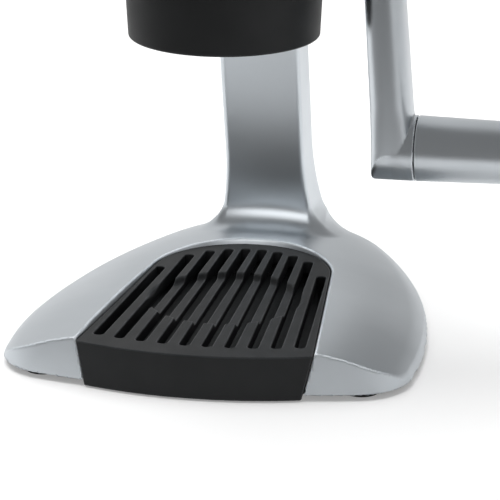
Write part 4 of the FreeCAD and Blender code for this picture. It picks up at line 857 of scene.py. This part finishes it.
def lid_knob():
    base, round_r = LID_TOP_Z, KNOB_R - KNOB_EDGE_R
    round_z = base + KNOB_H - KNOB_CROWN - KNOB_EDGE_R
    turned_piece("lid_handle", "lid_knob", [
        (KNOB_BORE_R, base), (KNOB_STEM_R + KNOB_FOOT, base, KNOB_FOOT_R),
        (KNOB_STEM_R + KNOB_FOOT / 4, base + KNOB_FOOT_TOP * KNOB_H),
        (KNOB_STEM_R, base + KNOB_WAIST * KNOB_H, KNOB_WAIST_R)]
        + arc_points(round_r, round_z, KNOB_EDGE_R, *KNOB_ARC, KNOB_ARC_STEPS)
        + dome(round_r, KNOB_CROWN, base + KNOB_H)[1:])


def screw_field(head_r, head_h, shank_r, length):
    """A screw that points up from z = 0, with a cross recess below and a thread."""
    def field(x, y, z):
        out = hypot(x, y)
        head = round_common(out - head_r, np.maximum(-z, z - head_h), SCREW_EDGE_R)
        wave = np.cos(2 * math.pi * z / THREAD_PITCH - np.arctan2(y, x))
        thread = out - shank_r + THREAD_DEPTH * (1 - wave) / 2
        shank = round_common(thread, np.maximum(-z, z - length), SCREW_TIP_R)
        wing = RECESS_REACH * head_r
        narrow = RECESS_WIDTH * wing
        cross = np.minimum(np.maximum(abs(x) - wing, abs(y) - narrow),
                           np.maximum(abs(y) - wing, abs(x) - narrow))
        recess = np.maximum(cross + z * tan(RECESS_TAPER), z - RECESS_DEPTH * head_h)
        return round_common(np.minimum(head, shank), -recess, RECESS_EDGE_R)
    return field


def screws(name, node, places, low_z, head_r, head_h, shank_r, length):
    """The same screw at each place, its head's underside at low_z."""
    field, reach = screw_field(head_r, head_h, shank_r, length), head_r + SCREW_MARGIN
    spots, quads, normals = field_mesh(
        field, (-reach, -reach, -SCREW_MARGIN), (reach, reach, length + SCREW_MARGIN), SCREW_STEP)
    count, copies = len(spots), len(places)
    bends = np.tile(bend(field, spots, SCREW_BEND_REACH), copies)
    spots = np.concatenate([spots + (x, y, low_z) for x, y in places])
    faces = np.concatenate([quads + i * count for i in range(copies)]).tolist()
    new_piece(name, spots, faces, node, bends, np.tile(normals, (copies, 1)))


def rim_x(y):
    return SIDE_X + math.sqrt(SIDE_R ** 2 - (y - BASE_WIDEST_Y) ** 2)


def both_sides(inset, ys):
    """Places that lie inset from the base's rim, left and right."""
    return [(side * (rim_x(y) - inset), y) for y in ys for side in (-1, 1)]


def base_screws():
    screws("plate_screws", "base_screws", both_sides(PLATE_SCREW_INSET, PLATE_SCREW_YS),
           PLATE_SCREW_SINK, PLATE_SCREW_HEAD_R, PLATE_SCREW_HEAD_H, PLATE_SCREW_R,
           PLATE_SCREW_LENGTH)


def lid_screw():
    screws("knob_screw", "lid_screw", [(0, 0)], LID_TOP_Z - LID_WALL - LID_SCREW_HEAD_H,
           LID_SCREW_HEAD_R, LID_SCREW_HEAD_H, LID_SCREW_R, LID_SCREW_LENGTH)


def feet():
    """Rubber feet with a hollow sole and a groove round them."""
    hollow_z, groove_r = TABLE_Z + FOOT_HOLLOW, FOOT_R - FOOT_GROOVE
    mouth_low, mouth_high = FOOT_GROOVE_MOUTH
    floor_low, floor_high = FOOT_GROOVE_FLOOR
    turned_piece("rubber_feet", "feet", [
        (0, hollow_z), (FOOT_HOLLOW_R, hollow_z, FOOT_HOLLOW_EDGE_R),
        (FOOT_HOLLOW_MOUTH_R, TABLE_Z, FITTED_R), (FOOT_R, TABLE_Z, FOOT_SOLE_R),
        (FOOT_R, mouth_low, FOOT_GROOVE_R), (groove_r, floor_low, FOOT_GROOVE_R),
        (groove_r, floor_high, FOOT_GROOVE_R), (FOOT_R, mouth_high, FOOT_GROOVE_R),
        (FOOT_R, FOOT_SEAT, FITTED_R), (0, FOOT_SEAT)],
        segments=72, places=both_sides(
            FOOT_INSET, (BASE_FRONT_Y + FOOT_FROM_FRONT, TAIL_Y - FOOT_FROM_TAIL)))


# ---- all replaced pieces: the field's box holds the piece, step is the width of its grid -----
field_piece("stand_casting", stand_field, "stand",
            low=(-95, -80, -2), high=(95, 159, 176), step=1.0)
field_piece("head_casting", housing_field, "head_housing",
            low=(-56, -52, 167), high=(61, 99, 262), step=1.0)
field_piece("crank_casting", crank_field, "crank_arm",
            low=(57, -19, 75), high=(87, 19, 217), step=0.8)
field_piece("tray_grille", grille_field, "drip_grille",
            low=(-56, -81, -4), high=(56, 80, 19), step=0.65)
field_piece("tray_pan", pan_field, "drip_tray",
            low=(-54, -78, 1), high=(54, 79, 13), step=0.9)
for make in (chute_ring, end_cap, hub_cap, grip, lid, lid_knob, base_screws, lid_screw, feet):
    make()


# ---- camera and lights, in metres ------------------------------------------------------------
CAMERA_PLACE = Vector((0.23719, -1.14773, 0.42887))
CAMERA_TARGET = Vector((0.01147, 0.0, 0.04056))
CAMERA_LENS, CAMERA_SENSOR = 198.0, 36.0
CAMERA_REACH = 20.0


def put(name, data, place, target):
    """An object at a place that looks at a target."""
    found = bpy.data.objects.new(name, data)
    found.location = place
    found.rotation_euler = (target - place).to_track_quat("-Z", "Y").to_euler()
    bpy.context.scene.collection.objects.link(found)
    return found


def camera():
    data = bpy.data.cameras.new("camera")
    data.lens = CAMERA_LENS
    data.sensor_width = CAMERA_SENSOR
    data.clip_end = CAMERA_REACH
    bpy.context.scene.camera = put("camera", data, CAMERA_PLACE, CAMERA_TARGET)


def softbox(name, place, target, size, power, in_gloss, spread=180):
    """A rectangular light that the camera doesn't see."""
    data = bpy.data.lights.new(name, "AREA")
    data.shape = "RECTANGLE"
    data.size, data.size_y = size
    data.energy = power
    data.spread = math.radians(spread)
    found = put(name, data, Vector(place), Vector(target))
    found.visible_glossy = in_gloss
    found.visible_camera = False


# ---- floor and surroundings ------------------------------------------------------------------
FLOOR_REACH = 6.0
FLOOR_WHITE = 0.68
FLOOR_GLOW = 0.28               # keeps the shadows on the white floor light
TABLE_FRONT = (-0.30, -0.14)    # in reflections the floor darkens towards the camera between these
TABLE_LEVELS = (0.24, 0.84)
TABLE_BACK, TABLE_FAR = (0.80, 1.60), 0.80
DARK_SIDE = 25.0                # degrees that the dim part lies to the left of the front
SKY_TURN = (62, 104)            # degrees from the back over the top: bright, then dim
SKY_BRIGHT, SKY_DIM = 0.80, 0.25
SKY_RIGHT, SKY_RIGHT_UP, SKY_RIGHT_LESS = (-0.10, 0.12), (0.10, 0.34), 0.64    # dimmer there


def depth(tree, way):
    """How far back a direction or place is, seen along the middle of the dim part."""
    found = tree.nodes.new("ShaderNodeVectorMath")
    found.operation = "DOT_PRODUCT"
    tree.links.new(way, found.inputs[0])
    found.inputs[1].default_value = (sin(DARK_SIDE), cos(DARK_SIDE), 0)
    return found.outputs["Value"]


def floor():
    """White to the eye; in reflections it is a lit table that ends in a dim room in front."""
    mesh = bpy.data.meshes.new("floor")
    corners = [(-1, -1), (1, -1), (1, 1), (-1, 1)]
    places = [(x * FLOOR_REACH, y * FLOOR_REACH, TABLE_Z * MM) for x, y in corners]
    mesh.from_pydata(places, [], [(0, 1, 2, 3)])
    found = bpy.data.objects.new("floor", mesh)
    bpy.context.scene.collection.objects.link(found)
    material = bpy.data.materials.new("white_floor")
    material.use_nodes = True
    tree = material.node_tree
    y = depth(tree, tree.nodes.new("ShaderNodeNewGeometry").outputs["Position"])
    near, far = ramp(tree, y, *TABLE_FRONT, *TABLE_LEVELS), ramp(tree, y, *TABLE_BACK, 1, TABLE_FAR)
    seen = tree.nodes.new("ShaderNodeLightPath").outputs["Is Camera Ray"]
    level = maths(tree, "MULTIPLY", near, far)
    hidden = maths(tree, "MULTIPLY", maths(tree, "SUBTRACT", 1.0, seen), level)
    shader = tree.nodes["Principled BSDF"]
    white = maths(tree, "MULTIPLY_ADD", seen, FLOOR_WHITE, hidden)
    tree.links.new(white, shader.inputs["Base Color"])
    tree.links.new(maths(tree, "MULTIPLY", seen, FLOOR_GLOW), shader.inputs["Emission Strength"])
    shader.inputs["Emission Color"].default_value = (1, 1, 1, 1)
    shader.inputs["Roughness"].default_value = 1.0
    shader.inputs["Specular IOR Level"].default_value = 0.0
    mesh.materials.append(material)


def world():
    """White to the eye; in reflections it is bright behind, dim in front and at upper right."""
    scene = bpy.context.scene
    scene.world = bpy.data.worlds.new("studio")
    scene.world.use_nodes = True
    tree = scene.world.node_tree
    way = tree.nodes.new("ShaderNodeTexCoord").outputs["Generated"]
    parts = add(tree, "ShaderNodeSeparateXYZ", Vector=way).outputs
    up = maths(tree, "ABSOLUTE", parts["Z"])
    turn = maths(tree, "ARCTAN2", up, depth(tree, way))
    right, high = ramp(tree, parts["X"], *SKY_RIGHT, 0, 1), ramp(tree, up, *SKY_RIGHT_UP, 0, 1)
    less = maths(tree, "MULTIPLY", right, high)
    bright = maths(tree, "MULTIPLY_ADD", less, -SKY_BRIGHT * SKY_RIGHT_LESS, SKY_BRIGHT)
    level = ramp(tree, turn, *(math.radians(limit) for limit in SKY_TURN), bright, SKY_DIM)
    seen = tree.nodes.new("ShaderNodeLightPath").outputs["Is Camera Ray"]
    background = tree.nodes["Background"]
    background.inputs["Color"].default_value = (1, 1, 1, 1)
    tree.links.new(maths(tree, "MAXIMUM", seen, level), background.inputs["Strength"])
    scene.view_settings.view_transform = "Standard"


camera()
world()
floor()
softbox("overhead", place=(-0.25, 0.25, 1.5), target=(0, 0, 0), size=(1.6, 1.6), power=34,
        in_gloss=False)
softbox("glass_bounce", place=(0.0, 0.030, 0.075), target=(0.0, 0.095, 0.070), size=(0.08, 0.09),
        power=0.017, in_gloss=True, spread=110)
